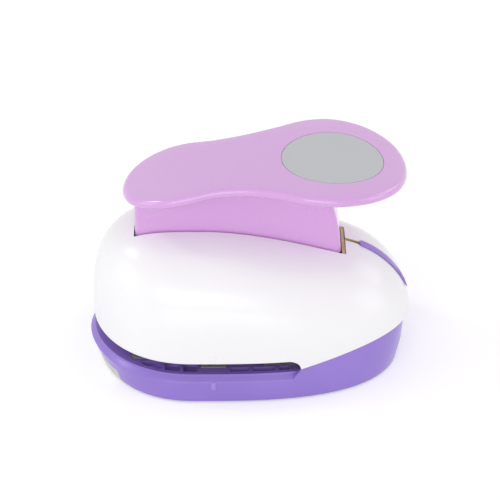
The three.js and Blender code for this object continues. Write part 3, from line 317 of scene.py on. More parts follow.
def new_material(name):
    """A material and its Principled shader."""
    material = bpy.data.materials.new(name)
    material.use_nodes = True
    return material, material.node_tree.nodes["Principled BSDF"]


def wire(node, sockets):
    """Sets a node's sockets, by name or number, to values, to sockets or to other nodes' first outputs."""
    for name, value in sockets.items():
        source = value.outputs[0] if isinstance(value, bpy.types.Node) else value
        if isinstance(source, bpy.types.NodeSocket):
            node.id_data.links.new(source, node.inputs[name])
        else:
            node.inputs[name].default_value = source
    return node


def add(owner, kind, sockets=None, stops=(), **settings):
    """Adds a node with its settings and links; stops are the places and hex colours of a ramp."""
    made = owner.node_tree.nodes.new(kind)
    for name, value in settings.items():
        setattr(made, name, value)
    for i, (position, hex_value) in enumerate(stops):
        made.color_ramp.elements[i].position = position
        made.color_ramp.elements[i].color = colour(hex_value)
    return wire(made, sockets or {})


def cells(size):
    """The scale of a noise whose cells have a size in millimetres."""
    return 1.0 / (size * MM)


def moulded_plastic(name, low, high, rough_low, rough_high, grain_depth=0.03, gloss=0.0):
    """Injection-moulded plastic: slow clouds of colour 36 mm wide where the melt flowed, an 11 mm waviness
    that the roughness follows, and the grain of the tool's blasted skin, drawn at 0.5 mm to show."""
    material, skin = new_material(name)
    place = add(material, "ShaderNodeTexCoord").outputs["Object"]
    flow = add(material, "ShaderNodeTexNoise", {
        "Vector": place, "Scale": cells(35.7), "Detail": 3.0, "Roughness": 0.5})
    grain = add(material, "ShaderNodeTexNoise", {
        "Vector": place, "Scale": cells(0.5), "Detail": 2.0, "Roughness": 0.6})
    ripple = add(material, "ShaderNodeTexNoise", {"Vector": place, "Scale": cells(11.1), "Detail": 1.0})
    tint = add(material, "ShaderNodeValToRGB", {"Fac": flow}, stops=((0.35, low), (0.65, high)))
    rough = add(material, "ShaderNodeMapRange", {
        "Value": ripple, "From Min": 0.3, "From Max": 0.7, "To Min": rough_low, "To Max": rough_high})
    fine = add(material, "ShaderNodeBump", {"Height": grain, "Strength": 0.12, "Distance": grain_depth * MM})
    wave = add(material, "ShaderNodeBump", {
        "Height": ripple, "Strength": 0.1, "Distance": 0.02 * MM, "Normal": fine})
    wire(skin, {"Base Color": tint, "Roughness": rough, "Normal": wave, "IOR": 1.54,
                "Coat Weight": gloss, "Coat Roughness": 0.2})
    return material


def finished(piece, material, angle=30.0):
    """One material, and smooth shading that keeps the edges sharper than the angle."""
    piece.data.materials.clear()
    piece.data.materials.append(material)
    pick(piece)
    bpy.ops.object.shade_smooth_by_angle(angle=math.radians(angle))


finished(base, moulded_plastic("purple_moulded_abs", 0x9071CF, 0x9678D5, 0.32, 0.38, gloss=0.5))
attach(base, "housing")
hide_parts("base")

# Base marks
# Two short raised bars, moulded with the base under its lip, that show where the middle of the
# cut lies. They are a shade paler and glossier than the wall.
base_marks = joined(box_pair(DIE_X - 1.2, DIE_X + 1.2, 51.4, 51.97, 8.1, 12.45, 0.2))
base_marks.name = "base_marks"
finished(base_marks, moulded_plastic("pale_purple_abs", 0xA58EDB, 0xA992DE, 0.24, 0.3))
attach(base_marks, "housing")

# Waste lid
# A shallow tray of light grey polypropylene that closes the base under the die. Its rear bar
# turns in two moulded hooks, and its front edge lies flush with the outside of the wall.
LID_REAR, LID_WALL = 30.286, 1.6
LID_FLOOR_TOP = LID_LOW + LID_WALL
WEB_HALF, WEB_LOW, WEB_TOP = 18.5, 1.8, 3.0
lid = shell_from_rings("waste_lid_tray", [ring_at(0.0, z) for z in (LID_LOW, 2.8, 4.9, LID_TOP)])
combine(lid, box_piece(-PAST_END, LID_REAR, -LID_HALF, LID_HALF, LID_LOW, LID_TOP, 0.6), "INTERSECT")
tray = shell_from_rings("tray_hollow", [ring_at(WALL, z) for z in (LID_FLOOR_TOP, 5.0, 8.5)])
tray_half = LID_HALF - LID_WALL
combine(tray, box_piece(-PAST_END, LID_REAR - LID_WALL, -tray_half, tray_half, LID_FLOOR_TOP, 9.0),
        "INTERSECT")
combine(lid, tray, "DIFFERENCE")
combine(lid, box_piece(LID_REAR - 0.8, LID_BAR_X, -WEB_HALF, WEB_HALF, WEB_LOW, WEB_TOP), "UNION")
combine(lid, bar_piece(LID_BAR_X, 0.0, LID_BAR_Z, LID_BAR_RADIUS, LID_BAR_LENGTH, across=True, sides=24),
        "UNION")
finished(lid, moulded_plastic("grey_moulded_polypropylene", 0xCCCBCD, 0xD1D0D2, 0.42, 0.5))
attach(lid, "waste_lid")
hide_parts("waste_lid")

# Cover
# The upper half of the case: one thin dome of glossy white ABS, injection moulded, with a slot
# for the lever and a slit for the lock. It stands on four screw posts moulded inside.
SPRING_Z = 19.5
CREST_X, CREST_TOP, CREST_FULLNESS = -23.714, 77.3, 3.7
SECTION_FULLNESS = 2.48
REAR_ARC_X, REAR_ARC_R = 37.286, 46.0
ARC_START = math.radians(15.0)
RIDGE_FRONT, RIDGE_REAR = -48.714, 35.286
COVER_TUCK = (2.4, 0.0)
MOUTH_EDGE_Z, MOUTH_CORNER_RUN = 23.7, 6.5
PARTING_GAP = 0.3


def crest_height(x):
    """Height of the dome's ridge above its springing: steep in front, level over the hinge, an arc behind."""
    if x < CREST_X:
        along = min((CREST_X - x) / (CREST_X - BODY_FRONT - COVER_TUCK[0]), 1.0)
        return (CREST_TOP - SPRING_Z) * (1.0 - along ** CREST_FULLNESS) ** (1.0 / CREST_FULLNESS)
    arc_x = REAR_ARC_X + REAR_ARC_R * math.sin(ARC_START)
    if x > arc_x:
        return math.sqrt(max(REAR_ARC_R ** 2 - (x - REAR_ARC_X) ** 2, 0.0))
    span = arc_x - CREST_X
    t = (x - CREST_X) / span
    fall = REAR_ARC_R * math.cos(ARC_START)
    slope = -math.tan(ARC_START) * span
    return ((2 * t ** 3 - 3 * t ** 2 + 1) * (CREST_TOP - SPRING_Z) + (3 * t ** 2 - 2 * t ** 3) * fall
            + (t ** 3 - t ** 2) * slope)


def dome_height(x, y):
    """Height of the dome over a point of the plan."""
    across = min(abs(y) / max(half_width(x, 0.0, COVER_TUCK), 0.001), 1.0)
    return SPRING_Z + crest_height(x) * (1.0 - across ** SECTION_FULLNESS) ** (1.0 / SECTION_FULLNESS)


def cover_edge(x):
    """Height of the cover's lower edge: level over the mouth, rounded down behind the throat."""
    corner_x = THROAT_TOP - MOUTH_CORNER_RUN
    foot = PARTING_START + PARTING_GAP
    if x < corner_x:
        return MOUTH_EDGE_Z
    if x < THROAT_TOP:
        return foot + (MOUTH_EDGE_Z - foot) * math.sqrt(1.0 - ((x - corner_x) / MOUTH_CORNER_RUN) ** 2)
    return parting_height(x) + PARTING_GAP


def dome_point(x, y, share):
    """A point of the dome on the way from the rim, share 1, to the ridge, share 0."""
    ridge_x = min(max(x, RIDGE_FRONT), RIDGE_REAR)
    px, py = ridge_x + (x - ridge_x) * share, y * share
    return px, py, dome_height(px, py)


def first_share(x, y):
    """Where the dome's surface leaves the cover's lower edge, found by halving."""
    low, high = 0.5, 1.0
    for _ in range(40):
        middle = (low + high) / 2.0
        px, py, pz = dome_point(x, y, middle)
        if pz > cover_edge(px):
            low = middle
        else:
            high = middle
    return (low + high) / 2.0


rim_points = outline(0.0, COVER_TUCK)
starts = [first_share(x, y) for x, y in rim_points]
DOME_ROWS = 36


def dome_ring(row):
    """A ring of the dome, from its lower edge, row 0, to its ridge, in even turns of its section."""
    ring = []
    power = SECTION_FULLNESS / 2.0
    for (x, y), start in zip(rim_points, starts):
        if row == 0 and cover_edge(x) < SPRING_Z:
            ring.append((x, y, cover_edge(x)))
            continue
        begin = math.acos(min(start ** power, 1.0))
        turn = begin + (math.pi / 2.0 - begin) * row / DOME_ROWS
        share = max(math.cos(turn), 0.0) ** (1.0 / power) if row < DOME_ROWS else 0.0
        ring.append(dome_point(x, y, share))
    return ring


COVER_WALL = 2.2
SLOT_FRONT, SLOT_REAR, SLOT_HALF = -57.214, 48.386, 13.0
SLIT_FRONT, SLIT_REAR, SLIT_HALF = 46.0, 68.9, 1.35
ABOVE_COVER = 84.0
POST_RADIUS, POST_HEIGHT = 3.6, 60.0
POST_SHARE, POST_FOOT = 0.975, 5.0
cover_rings = [dome_ring(row) for row in range(DOME_ROWS + 1)]
cover = shell_from_rings("cover_shell", cover_rings, closed=False)
apply_step(cover, "SOLIDIFY", thickness=COVER_WALL * MM, offset=-1.0, use_even_offset=True)
combine(cover, box_piece(SLOT_FRONT, SLOT_REAR, -SLOT_HALF, SLOT_HALF, 50.0, ABOVE_COVER, 0.8, True),
        "DIFFERENCE")
combine(cover, box_piece(SLIT_FRONT, SLIT_REAR, -SLIT_HALF, SLIT_HALF, 38.0, ABOVE_COVER), "DIFFERENCE")

# The posts end a little inside the dome's outer face, where a smaller copy of the dome cuts them
posts = bar_pair(-50.714, 29.0, 50.9, POST_RADIUS, POST_HEIGHT)
posts += bar_pair(*REAR_COVER_POST, 46.0, POST_RADIUS, POST_HEIGHT)
core_rings = [[(x * POST_SHARE, y * POST_SHARE, POST_FOOT) for x, y, z in cover_rings[0]]]
for ring in cover_rings[1:]:
    core_rings.append([(x * POST_SHARE, y * POST_SHARE, z * POST_SHARE) for x, y, z in ring])
posts = combine(joined(posts), shell_from_rings("core", core_rings), "INTERSECT")
cover_marks = box_pair(DIE_X - 1.1, DIE_X + 1.1, 50.1, 51.76, 23.75, 29.5, 0.45)
joined([cover, posts] + cover_marks)
cover.name = "cover_shell"
finished(cover, moulded_plastic("white_moulded_abs", 0xF8F7F9, 0xF9F8FA, 0.22, 0.26, 0.006), 35.0)
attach(cover, "housing")
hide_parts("cover")

# Lever
# The handle: one moulding of lilac ABS, a palm plate with a rolled rim on a hollow skirt. It turns
# on the hinge pin at the skirt's front foot and carries the roller between two ears.
LEVER_FRONT, LEVER_REAR = -62.714, 77.586
LEVER_HALF, LEVER_TOP, LEVER_CREST = 40.7, 111.8, 33.286
FRONT_BEND, REAR_BEND = 300.0, 208.0
PLATE = 5.0
PLATE_STEPS = 8
ALONG = [0, 0.022, 0.075, 0.147, 0.218, 0.325, 0.432, 0.539, 0.646, 0.754, 0.868, 0.95, 0.988, 1]
ACROSS = [0, 0.316, 0.534, 0.656, 0.685, 0.644, 0.687, 0.805, 0.963, 0.997, 0.853, 0.582, 0.304, 0]


def lever_top(x):
    """Height of the plate's top face, two arcs that meet at its crest."""
    bend = FRONT_BEND if x < LEVER_CREST else REAR_BEND
    return LEVER_TOP - bend + math.sqrt(bend ** 2 - (x - LEVER_CREST) ** 2)


def mixed(p, q, t0, t1, u):
    """The point at u on the line that passes p at t0 and q at t1."""
    share = (u - t0) / (t1 - t0)
    return tuple(a + (b - a) * share for a, b in zip(p, q))


def lever_outline(steps):
    """The plate's outline as a smooth closed curve through its stations, nose to tail and back."""
    right = [(LEVER_FRONT + (LEVER_REAR - LEVER_FRONT) * a, -LEVER_HALF * w) for a, w in zip(ALONG, ACROSS)]
    knots = right + [(x, -y) for x, y in reversed(right[1:-1])]
    points = []
    for i in range(len(knots)):
        p = [knots[(i + k - 1) % len(knots)] for k in range(4)]
        t = [0.0]
        for a, b in zip(p, p[1:]):
            t.append(t[-1] + math.dist(a, b) ** 0.5)
        for step in range(steps):
            u = t[1] + (t[2] - t[1]) * step / steps
            a = [mixed(p[k], p[k + 1], t[k], t[k + 1], u) for k in range(3)]
            b = [mixed(a[k], a[k + 1], t[k], t[k + 2], u) for k in range(2)]
            points.append(mixed(b[0], b[1], t[1], t[2], u))
    return points


def drawn_in(points, distance):
    """The outline moved in square to itself."""
    moved = []
    for i, (x, y) in enumerate(points):
        x0, y0 = points[i - 1]
        x1, y1 = points[(i + 1) % len(points)]
        length = math.dist((x0, y0), (x1, y1))
        moved.append((x + (y0 - y1) / length * distance, y + (x1 - x0) / length * distance))
    return moved


def plate_ring(points, width_share, depth):
    """A closed ring at a depth below the top face, narrowed towards the middle line."""
    ring = [(x, y * width_share, lever_top(x) - depth) for x, y in points]
    return ring + ring[:1]


# The underside from the middle line out, the rolled rim and the top face back to the middle line
RIM_RADIUS = PLATE / 2.0
RIM_STEPS = 12
WIDTH_SHARES = (0.0, 0.2, 0.4, 0.6, 0.8)
plate_edge = lever_outline(PLATE_STEPS)
inner_edge = drawn_in(plate_edge, RIM_RADIUS)
lever_rings = [plate_ring(inner_edge, share, PLATE) for share in WIDTH_SHARES]
for step in range(RIM_STEPS + 1):
    turn = -math.pi / 2.0 + math.pi * step / RIM_STEPS
    edge = drawn_in(plate_edge, RIM_RADIUS * (1.0 - math.cos(turn)))
    lever_rings.append(plate_ring(edge, 1.0, RIM_RADIUS - RIM_RADIUS * math.sin(turn)))
lever_rings += [plate_ring(inner_edge, share, 0.0) for share in reversed(WIDTH_SHARES)]
lever = shell_from_rings("lever_handle", lever_rings)

HINGE_X, HINGE_Z = -49.714, 60.0
SKIRT_FRONT, SKIRT_REAR_TOP, SKIRT_ARC = -56.714, 45.986, 95.7
SKIRT_HALF, SKIRT_WALL, SKIRT_CORNER, SKIRT_LOW = 12.0, 2.4, 3.2, 63.1
HINGE_FOOT_LOW, HINGE_FOOT_REAR, HINGE_FOOT_RISE = 53.0, -42.714, -35.714
ROLLER_Z, EAR_DROP, EAR_HALF, EAR_ROOT_HALF = 45.0, 3.8, 5.0, 10.0


def plate_line(x0, x1, depth, steps=24):
    """The plate's bend in side view between two places, at a depth below its top face."""
    places = [x0 + (x1 - x0) * i / steps for i in range(steps + 1)]
    return [(x, lever_top(x) - depth) for x in places]


def skirt_side(wall, drop):
    """Side view of the skirt: upright front, rear edge on an arc round the hinge, ears below."""
    radius = SKIRT_ARC - wall
    low = SKIRT_LOW - drop
    depth = PLATE / 2.0 + wall
    high_turn = math.asin((lever_top(SKIRT_REAR_TOP) - depth - HINGE_Z) / radius)
    low_turn = math.asin((low - HINGE_Z) / radius)
    turns = [low_turn + (high_turn - low_turn) * i / 20 for i in range(21)]
    points = [(HINGE_X + radius * math.cos(t), HINGE_Z + radius * math.sin(t)) for t in turns]
    points += plate_line(points[-1][0], SKIRT_FRONT + wall, depth)[1:]
    foot, ear = HINGE_FOOT_LOW - drop, ROLLER_Z - EAR_DROP - drop
    points += [(SKIRT_FRONT + wall, foot), (HINGE_FOOT_REAR, foot), (HINGE_FOOT_RISE, low)]
    points += [(DIE_X - EAR_ROOT_HALF, low), (DIE_X - EAR_HALF, ear)]
    points += [(DIE_X + EAR_HALF, ear), (DIE_X + EAR_ROOT_HALF, low)]
    return points


def side_piece(name, points, half):
    """A shape drawn in side view, filled and pulled across the body."""
    bpy.ops.object.select_all(action="DESELECT")
    bpy.ops.mesh.primitive_circle_add(vertices=len(points), fill_type="NGON", radius=1.0)
    piece = bpy.context.object
    piece.name = name
    piece.data.vertices.foreach_set("co", [c * MM for x, z in points for c in (x, -half, z)])
    bpy.ops.object.mode_set(mode="EDIT")
    bpy.ops.mesh.select_all(action="SELECT")
    bpy.ops.mesh.extrude_region_move(TRANSFORM_OT_translate={"value": (0, 2 * half * MM, 0)})
    bpy.ops.mesh.select_all(action="SELECT")
    bpy.ops.mesh.normals_make_consistent(inside=False)
    bpy.ops.object.mode_set(mode="OBJECT")
    return piece


def rounded_rings(wall, lowest, count):
    """Level rings round the skirt, 2 mm apart: straight sides, round corners, the rear end on the arc."""
    rings = []
    half, corner = SKIRT_HALF - wall, max(SKIRT_CORNER - wall, 0.8)
    for z in [lowest + 2.0 * i for i in range(count)]:
        x0 = SKIRT_FRONT + wall
        x1 = HINGE_X + math.sqrt((SKIRT_ARC - wall) ** 2 - (z - HINGE_Z) ** 2)
        ring = []
        for cx, cy, begin in ((x1, -half, -90), (x1, half, 0), (x0, half, 90), (x0, -half, 180)):
            cx += corner if cx == x0 else -corner
            cy += corner if cy < 0 else -corner
            for k in range(9):
                a = math.radians(begin + 90 * k / 8)
                ring.append((cx + corner * math.cos(a), cy + corner * math.sin(a), z))
        rings.append(ring + ring[:1])
    return rings


skirt = shell_from_rings("skirt", rounded_rings(0.0, 38.0, 40))
combine(skirt, side_piece("skirt_profile", skirt_side(0.0, 0.0), SKIRT_HALF + 2.0), "INTERSECT")
combine(lever, skirt, "UNION")
cavity = shell_from_rings("cavity", rounded_rings(SKIRT_WALL, 33.0, 42))
combine(cavity, side_piece("cavity_profile", skirt_side(SKIRT_WALL, 6.0), SKIRT_HALF), "INTERSECT")
combine(lever, cavity, "DIFFERENCE")

# The recess of the inlay, the window for the keeper's nose, and the bores of the pin and the axle
INLAY_X, INLAY_RADIUS, RECESS_RADIUS, RECESS_DEPTH = 40.886, 25.0, 25.3, 0.58
BEND_STEPS, BAND_HALF = 60, 45.0


def disc_over(radius, name, band):
    """A disc at the inlay's place, cut out of a band that follows the plate's bend."""
    bar = bar_piece(INLAY_X, 0.0, 100.0, radius, 40.0, sides=128)
    return combine(bar, side_piece(name, band, BAND_HALF), "INTERSECT")


top_band = plate_line(LEVER_FRONT, LEVER_REAR, RECESS_DEPTH, BEND_STEPS)
top_band += [(LEVER_REAR, 120.0), (LEVER_FRONT, 120.0)]
combine(lever, disc_over(RECESS_RADIUS, "band", top_band), "DIFFERENCE")
WINDOW_X, WINDOW_Z, PRESS_ANGLE = 41.0, 86.2, 15.4
PIN_BORE, AXLE_BORE, BORE_LENGTH = 2.58, 2.08, 30.0
window = box_piece(-3.0, 3.0, -4.1, 4.1, -1.6, 1.2)
window.location = (WINDOW_X * MM, 0.0, WINDOW_Z * MM)
window.rotation_euler = (0.0, math.radians(-PRESS_ANGLE), 0.0)
bpy.ops.object.transform_apply(location=True, rotation=True, scale=True)
combine(lever, window, "DIFFERENCE")
combine(lever, bar_piece(HINGE_X, 0.0, HINGE_Z, PIN_BORE, BORE_LENGTH, across=True), "DIFFERENCE")
combine(lever, bar_piece(DIE_X, 0.0, ROLLER_Z, AXLE_BORE, BORE_LENGTH, across=True), "DIFFERENCE")
finished(lever, moulded_plastic("lilac_moulded_abs", 0xD8A1E0, 0xD9A3E2, 0.25, 0.28, 0.015, 1.0))
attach(lever, "lever")
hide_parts("lever")

# Lever inlay
# A round disc of silver-grey polyester film on a thin backing, as wide as the cut that the
# punch makes, stuck into a shallow recess of the plate and bent to its curve.
FILM_TOP, FILM_BOTTOM = 0.02, 0.5


def silver_grey_film():
    """Polyester film: an even silver grey with clouds of 29 mm, and flecks drawn at 0.7 mm to show."""
    material, skin = new_material("silver_grey_film")
    place = add(material, "ShaderNodeTexCoord").outputs["Object"]
    cloud = add(material, "ShaderNodeTexNoise", {"Vector": place, "Scale": cells(28.6), "Detail": 2.0})
    fleck = add(material, "ShaderNodeTexNoise", {"Vector": place, "Scale": cells(0.6667), "Detail": 2.0})
    tint = add(material, "ShaderNodeValToRGB", {"Fac": cloud}, stops=((0.35, 0xC4C5C9), (0.65, 0xC7C8CC)))
    rough = add(material, "ShaderNodeMapRange", {
        "Value": cloud, "From Min": 0.3, "From Max": 0.7, "To Min": 0.42, "To Max": 0.5})
    bump = add(material, "ShaderNodeBump", {"Height": fleck, "Strength": 0.15, "Distance": 0.02 * MM})
    wire(skin, {"Base Color": tint, "Roughness": rough, "Normal": bump})
    return material


film_band = plate_line(LEVER_FRONT, LEVER_REAR, FILM_TOP, BEND_STEPS)
film_band += plate_line(LEVER_REAR, LEVER_FRONT, FILM_BOTTOM, BEND_STEPS)
inlay = disc_over(INLAY_RADIUS, "film", film_band)
inlay.name = "lever_inlay_disc"
finished(inlay, silver_grey_film())
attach(inlay, "lever")
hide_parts("lever_inlay")

# Lock slider
# A thumb strip of purple ABS that lies on the rear of the cover and follows its arc. Its top
# end is round, its tail tapers under a row of grip ridges, and a neck goes through the slit.
STRIP_HALF, STRIP_IN, STRIP_OUT = 2.5, 46.3, 46.9
STRIP_FACE, STRIP_EASE = STRIP_OUT - 0.1, 0.35
STRIP_TOP, STRIP_END, TAPER_START = math.radians(23.0), math.radians(69.0), math.radians(44.0)
TAPER, TAPER_POWER = 0.62, 1.6
GRIP_FROM, GRIP_TO, GRIP_HEIGHT = 0.45, 0.9, 0.1
END_STEPS, STRIP_STEPS = 12, 192
NECK_TOP, NECK_TURN, NECK_HALF, NECK_IN, NECK_OUT, NECK_EASE = 28.0, 13.0, 1.0, 43.25, 46.8, 0.2


def arc_ring(section, turn):
    """A closed ring of radii and sides, set at a turn from upright round the cover's rear arc."""
    ring = [(REAR_ARC_X + r * math.sin(turn), y, SPRING_Z + r * math.cos(turn)) for r, y in section]
    return ring + ring[:1]


def strip_section(turn, half, inner, outer, ease):
    """A ring round the strip's section, its two outer corners eased."""
    corners = []
    for side in (-1, 1):
        for k in range(5):
            a = math.pi / 2.0 * k / 4
            lift, along = (math.sin(a), math.cos(a)) if side < 0 else (math.cos(a), math.sin(a))
            corners.append((outer - ease + ease * lift, side * (half - ease + ease * along)))
    return arc_ring([(inner, -half)] + corners + [(inner, half)], turn)


strip_rings = []
for step in range(END_STEPS + 1):
    d = STRIP_HALF * (1.0 - math.cos(math.pi / 2.0 * step / END_STEPS))
    half = max(math.sqrt(max(STRIP_HALF ** 2 - (STRIP_HALF - d) ** 2, 0.0)), STRIP_EASE)
    strip_rings.append(strip_section(STRIP_TOP + d / STRIP_OUT, half, STRIP_IN, STRIP_FACE,
                                     min(STRIP_EASE, half * 0.6)))
straight_from = STRIP_TOP + STRIP_HALF / STRIP_OUT
for step in range(1, STRIP_STEPS + 1):
    turn = straight_from + (STRIP_END - straight_from) * step / STRIP_STEPS
    tail = max((turn - TAPER_START) / (STRIP_END - TAPER_START), 0.0)
    grip = GRIP_HEIGHT * math.sin(math.pi * step / 2.0) if GRIP_FROM < tail < GRIP_TO else 0.0
    strip_rings.append(strip_section(turn, STRIP_HALF * (1.0 - TAPER * tail ** TAPER_POWER), STRIP_IN,
                                     STRIP_FACE + grip, STRIP_EASE))
strip = shell_from_rings("lock_slider_strip", strip_rings)
neck_turns = [math.radians(NECK_TOP + NECK_TURN * i / 12) for i in range(13)]
neck_rings = [strip_section(turn, NECK_HALF, NECK_IN, NECK_OUT, NECK_EASE) for turn in neck_turns]
joined([strip, shell_from_rings("neck", neck_rings)])
finished(strip, moulded_plastic("purple_slider_abs", 0x9A77D4, 0xA27FD9, 0.3, 0.38))
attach(strip, "lock")
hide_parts("lock_slider")

# Rear guide, keeper and hinge bracket
# Pressed from sheet steel and plated with yellow zinc, which leaves a brown gold colour with
# faint clouds. The brown gold is partly painted shade: its light tan stands for the warm shade
# inside the cover that shows through the slot and the slit.


def dress(material, *names):
    """CAD nodes whose shape is right take a material."""
    for name in names:
        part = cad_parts[name]
        part.data.materials.clear()
        part.data.materials.append(material)


def zinc_plate_and_painted_shade():
    """Zinc plating with a yellow passivation: brown gold in clouds of 6 mm, over the grit of the sheet,
    drawn at 0.8 mm so that it shows. The brown gold is partly painted shade, the warm shade of the
    cover's slot and slit."""
    material, skin = new_material("zinc_plate_and_painted_shade")
    place = add(material, "ShaderNodeTexCoord").outputs["Object"]
    cloud = add(material, "ShaderNodeTexNoise", {"Vector": place, "Scale": cells(6.25), "Detail": 4.0})
    grit = add(material, "ShaderNodeTexNoise", {"Vector": place, "Scale": cells(0.8333), "Detail": 2.0})
    tint = add(material, "ShaderNodeValToRGB", {"Fac": cloud}, stops=((0.35, 0xD2C287), (0.65, 0xDED099)))
    bump = add(material, "ShaderNodeBump", {"Height": grit, "Strength": 0.2, "Distance": 0.03 * MM})
    wire(skin, {"Base Color": tint, "Normal": bump, "Metallic": 0.2, "Roughness": 0.5})
    return material


zinc_and_painted_shade = zinc_plate_and_painted_shade()
# Partly painted shade: the brown gold of these parts stands for the warm shade seen through the slot.
dress(zinc_and_painted_shade, "rear_guide", "lock_keeper", "hinge_bracket")

# Slit liner
# Two thin folded edges of the same yellow zinc sheet that line the slit of the cover, so that
# the slider's neck runs on steel. Their brown is painted shade: they stand for the warm shade in
# the slit, which is what makes the slit look brown.
LINER_TOP, LINER_SWEEP, LINER_STEPS = 14.2, 28.4, 24
LINER_IN, LINER_OUT, LINER_FAR, LINER_NEAR = 43.9, 45.97, 1.34, 1.1
liner_turns = [math.radians(LINER_TOP + LINER_SWEEP * i / LINER_STEPS) for i in range(LINER_STEPS + 1)]
liner_sides = []
for side in (1, -1):
    far, near = side * LINER_FAR, side * LINER_NEAR
    section = [(LINER_IN, far), (LINER_OUT, far), (LINER_OUT, near), (LINER_IN, near)]
    liner_sides.append(shell_from_rings("liner", [arc_ring(section, turn) for turn in liner_turns]))
liner = joined(liner_sides)
liner.name = "slit_liner_painted_shade"
# The liner's brown gold is painted shade for the slit.
finished(liner, zinc_and_painted_shade)
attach(liner, "housing")

# Die plate, spacer, punch and roller
# Tool steel, hardened and ground: bright grey with the fine straight lines of the wheel.


def ground_tool_steel():
    """Fine lines left by the wheel, in colour, gloss and relief; drawn 0.4 mm wide and 17 mm long, so that
    they show."""
    material, skin = new_material("ground_tool_steel")
    place = add(material, "ShaderNodeTexCoord").outputs["Object"]
    lines = add(material, "ShaderNodeMapping", {
        "Vector": place, "Scale": (cells(16.7), cells(0.4), cells(0.4))})
    wheel = add(material, "ShaderNodeTexNoise", {"Vector": lines, "Scale": 1.0, "Detail": 3.0})
    tint = add(material, "ShaderNodeValToRGB", {"Fac": wheel}, stops=((0.35, 0xA9A8AC), (0.65, 0xB9B8BA)))
    rough = add(material, "ShaderNodeMapRange", {
        "Value": wheel, "From Min": 0.3, "From Max": 0.7, "To Min": 0.35, "To Max": 0.5})
    bump = add(material, "ShaderNodeBump", {"Height": wheel, "Strength": 0.2, "Distance": 0.01 * MM})
    wire(skin, {"Base Color": tint, "Roughness": rough, "Normal": bump, "Metallic": 0.35})
    return material


dress(ground_tool_steel(), "die_plate", "plate_spacer", "punch", "press_roller")

# Stripper plate and hinge clip
# Black-oxide steel sheet that peels the paper off the punch; dark, slightly oily, a little mottled.


def black_oxide_steel():
    """Oiled black oxide: dark mottles 4 to 5 mm across that shine unevenly."""
    material, skin = new_material("black_oxide_steel")
    place = add(material, "ShaderNodeTexCoord").outputs["Object"]
    mottle = add(material, "ShaderNodeTexNoise", {"Vector": place, "Scale": cells(4.55), "Detail": 4.0})
    tint = add(material, "ShaderNodeValToRGB", {"Fac": mottle}, stops=((0.35, 0x3A363C), (0.65, 0x4A464C)))
    rough = add(material, "ShaderNodeMapRange", {
        "Value": mottle, "From Min": 0.3, "From Max": 0.7, "To Min": 0.32, "To Max": 0.5})
    wire(skin, {"Base Color": tint, "Roughness": rough, "Metallic": 0.8})
    return material


dress(black_oxide_steel(), "stripper_plate", "hinge_clip")

# Screws, rivets, pins, guide posts and return springs
# Cold-headed and turned steel, plated with bright zinc; the springs are coiled from wire. They
# stand on the plates, and each spring gets a mesh of its own.
SIDES = ("left", "right")
PAIRS = ("bracket_rivet", "die_screw", "punch_screw", "guide_screw", "cover_screw_front", "cover_screw_rear",
         "guide_post_front", "guide_post_rear", "return_spring_front", "return_spring_rear")


def bright_zinc_steel():
    """Bright zinc over formed steel: pale, with a grain in colour and gloss, drawn at 1.1 mm to show."""
    material, skin = new_material("bright_zinc_steel")
    place = add(material, "ShaderNodeTexCoord").outputs["Object"]
    grain = add(material, "ShaderNodeTexNoise", {"Vector": place, "Scale": cells(1.111), "Detail": 3.0})
    tint = add(material, "ShaderNodeValToRGB", {"Fac": grain}, stops=((0.35, 0xBDBDC0), (0.65, 0xD0D0D2)))
    rough = add(material, "ShaderNodeMapRange", {
        "Value": grain, "From Min": 0.3, "From Max": 0.7, "To Min": 0.22, "To Max": 0.38})
    wire(skin, {"Base Color": tint, "Roughness": rough, "Metallic": 1.0})
    return material


bright_zinc = bright_zinc_steel()
dress(bright_zinc, "hinge_pin", "roller_axle", "lock_screw", *[f"plate_rivet_{i}" for i in (1, 2, 3, 4)])
dress(bright_zinc, *[f"{kind}_{side}" for kind in PAIRS for side in SIDES])
for place in ("front", "rear"):
    for side in SIDES:
        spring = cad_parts[f"return_spring_{place}_{side}"]
        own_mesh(spring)

# Punch holder and hinge washers
# Black nylon, moulded, matt with a faint grain.
black_nylon = moulded_plastic("black_moulded_nylon", 0x2A2A2E, 0x333338, 0.45, 0.55)
dress(black_nylon, "punch_holder", "hinge_washer_left", "hinge_washer_right")

# Feet
# Four discs of soft grey rubber, die-cut and pressed into round bosses of the base.


def grey_foot_rubber():
    """Matt rubber with the coarse skin of a die-cut sheet, its pores drawn at 1.25 mm so that they show."""
    material, skin = new_material("grey_foot_rubber")
    place = add(material, "ShaderNodeTexCoord").outputs["Object"]
    grain = add(material, "ShaderNodeTexNoise", {"Vector": place, "Scale": cells(1.25), "Detail": 3.0})
    tint = add(material, "ShaderNodeValToRGB", {"Fac": grain}, stops=((0.35, 0x6E6C72), (0.65, 0x7E7C82)))
    bump = add(material, "ShaderNodeBump", {"Height": grain, "Strength": 0.3, "Distance": 0.05 * MM})
    wire(skin, {"Base Color": tint, "Normal": bump, "Roughness": 0.8})
    return material


dress(grey_foot_rubber(), *[f"foot_{place}_{side}" for place in ("front", "rear") for side in SIDES])

# Table, light and camera
# A white sweep and soft light from all round, a little stronger from the front. The sweep looks
# white to the camera and in reflections, and still takes the punch's shadow.
WHITE = (1.0, 1.0, 1.0, 1.0)
PAPER_GLOW, SKY_LEVEL = 0.32, 0.64


def seen_by(owner, *rays):
    """1 for these kinds of ray, which only look, and 0 for the light that falls on the object."""
    path = add(owner, "ShaderNodeLightPath")
    seen = path.outputs[rays[0]]
    for ray in rays[1:]:
        seen = add(owner, "ShaderNodeMath", {0: seen, 1: path.outputs[ray]}, operation="MAXIMUM")
    return seen


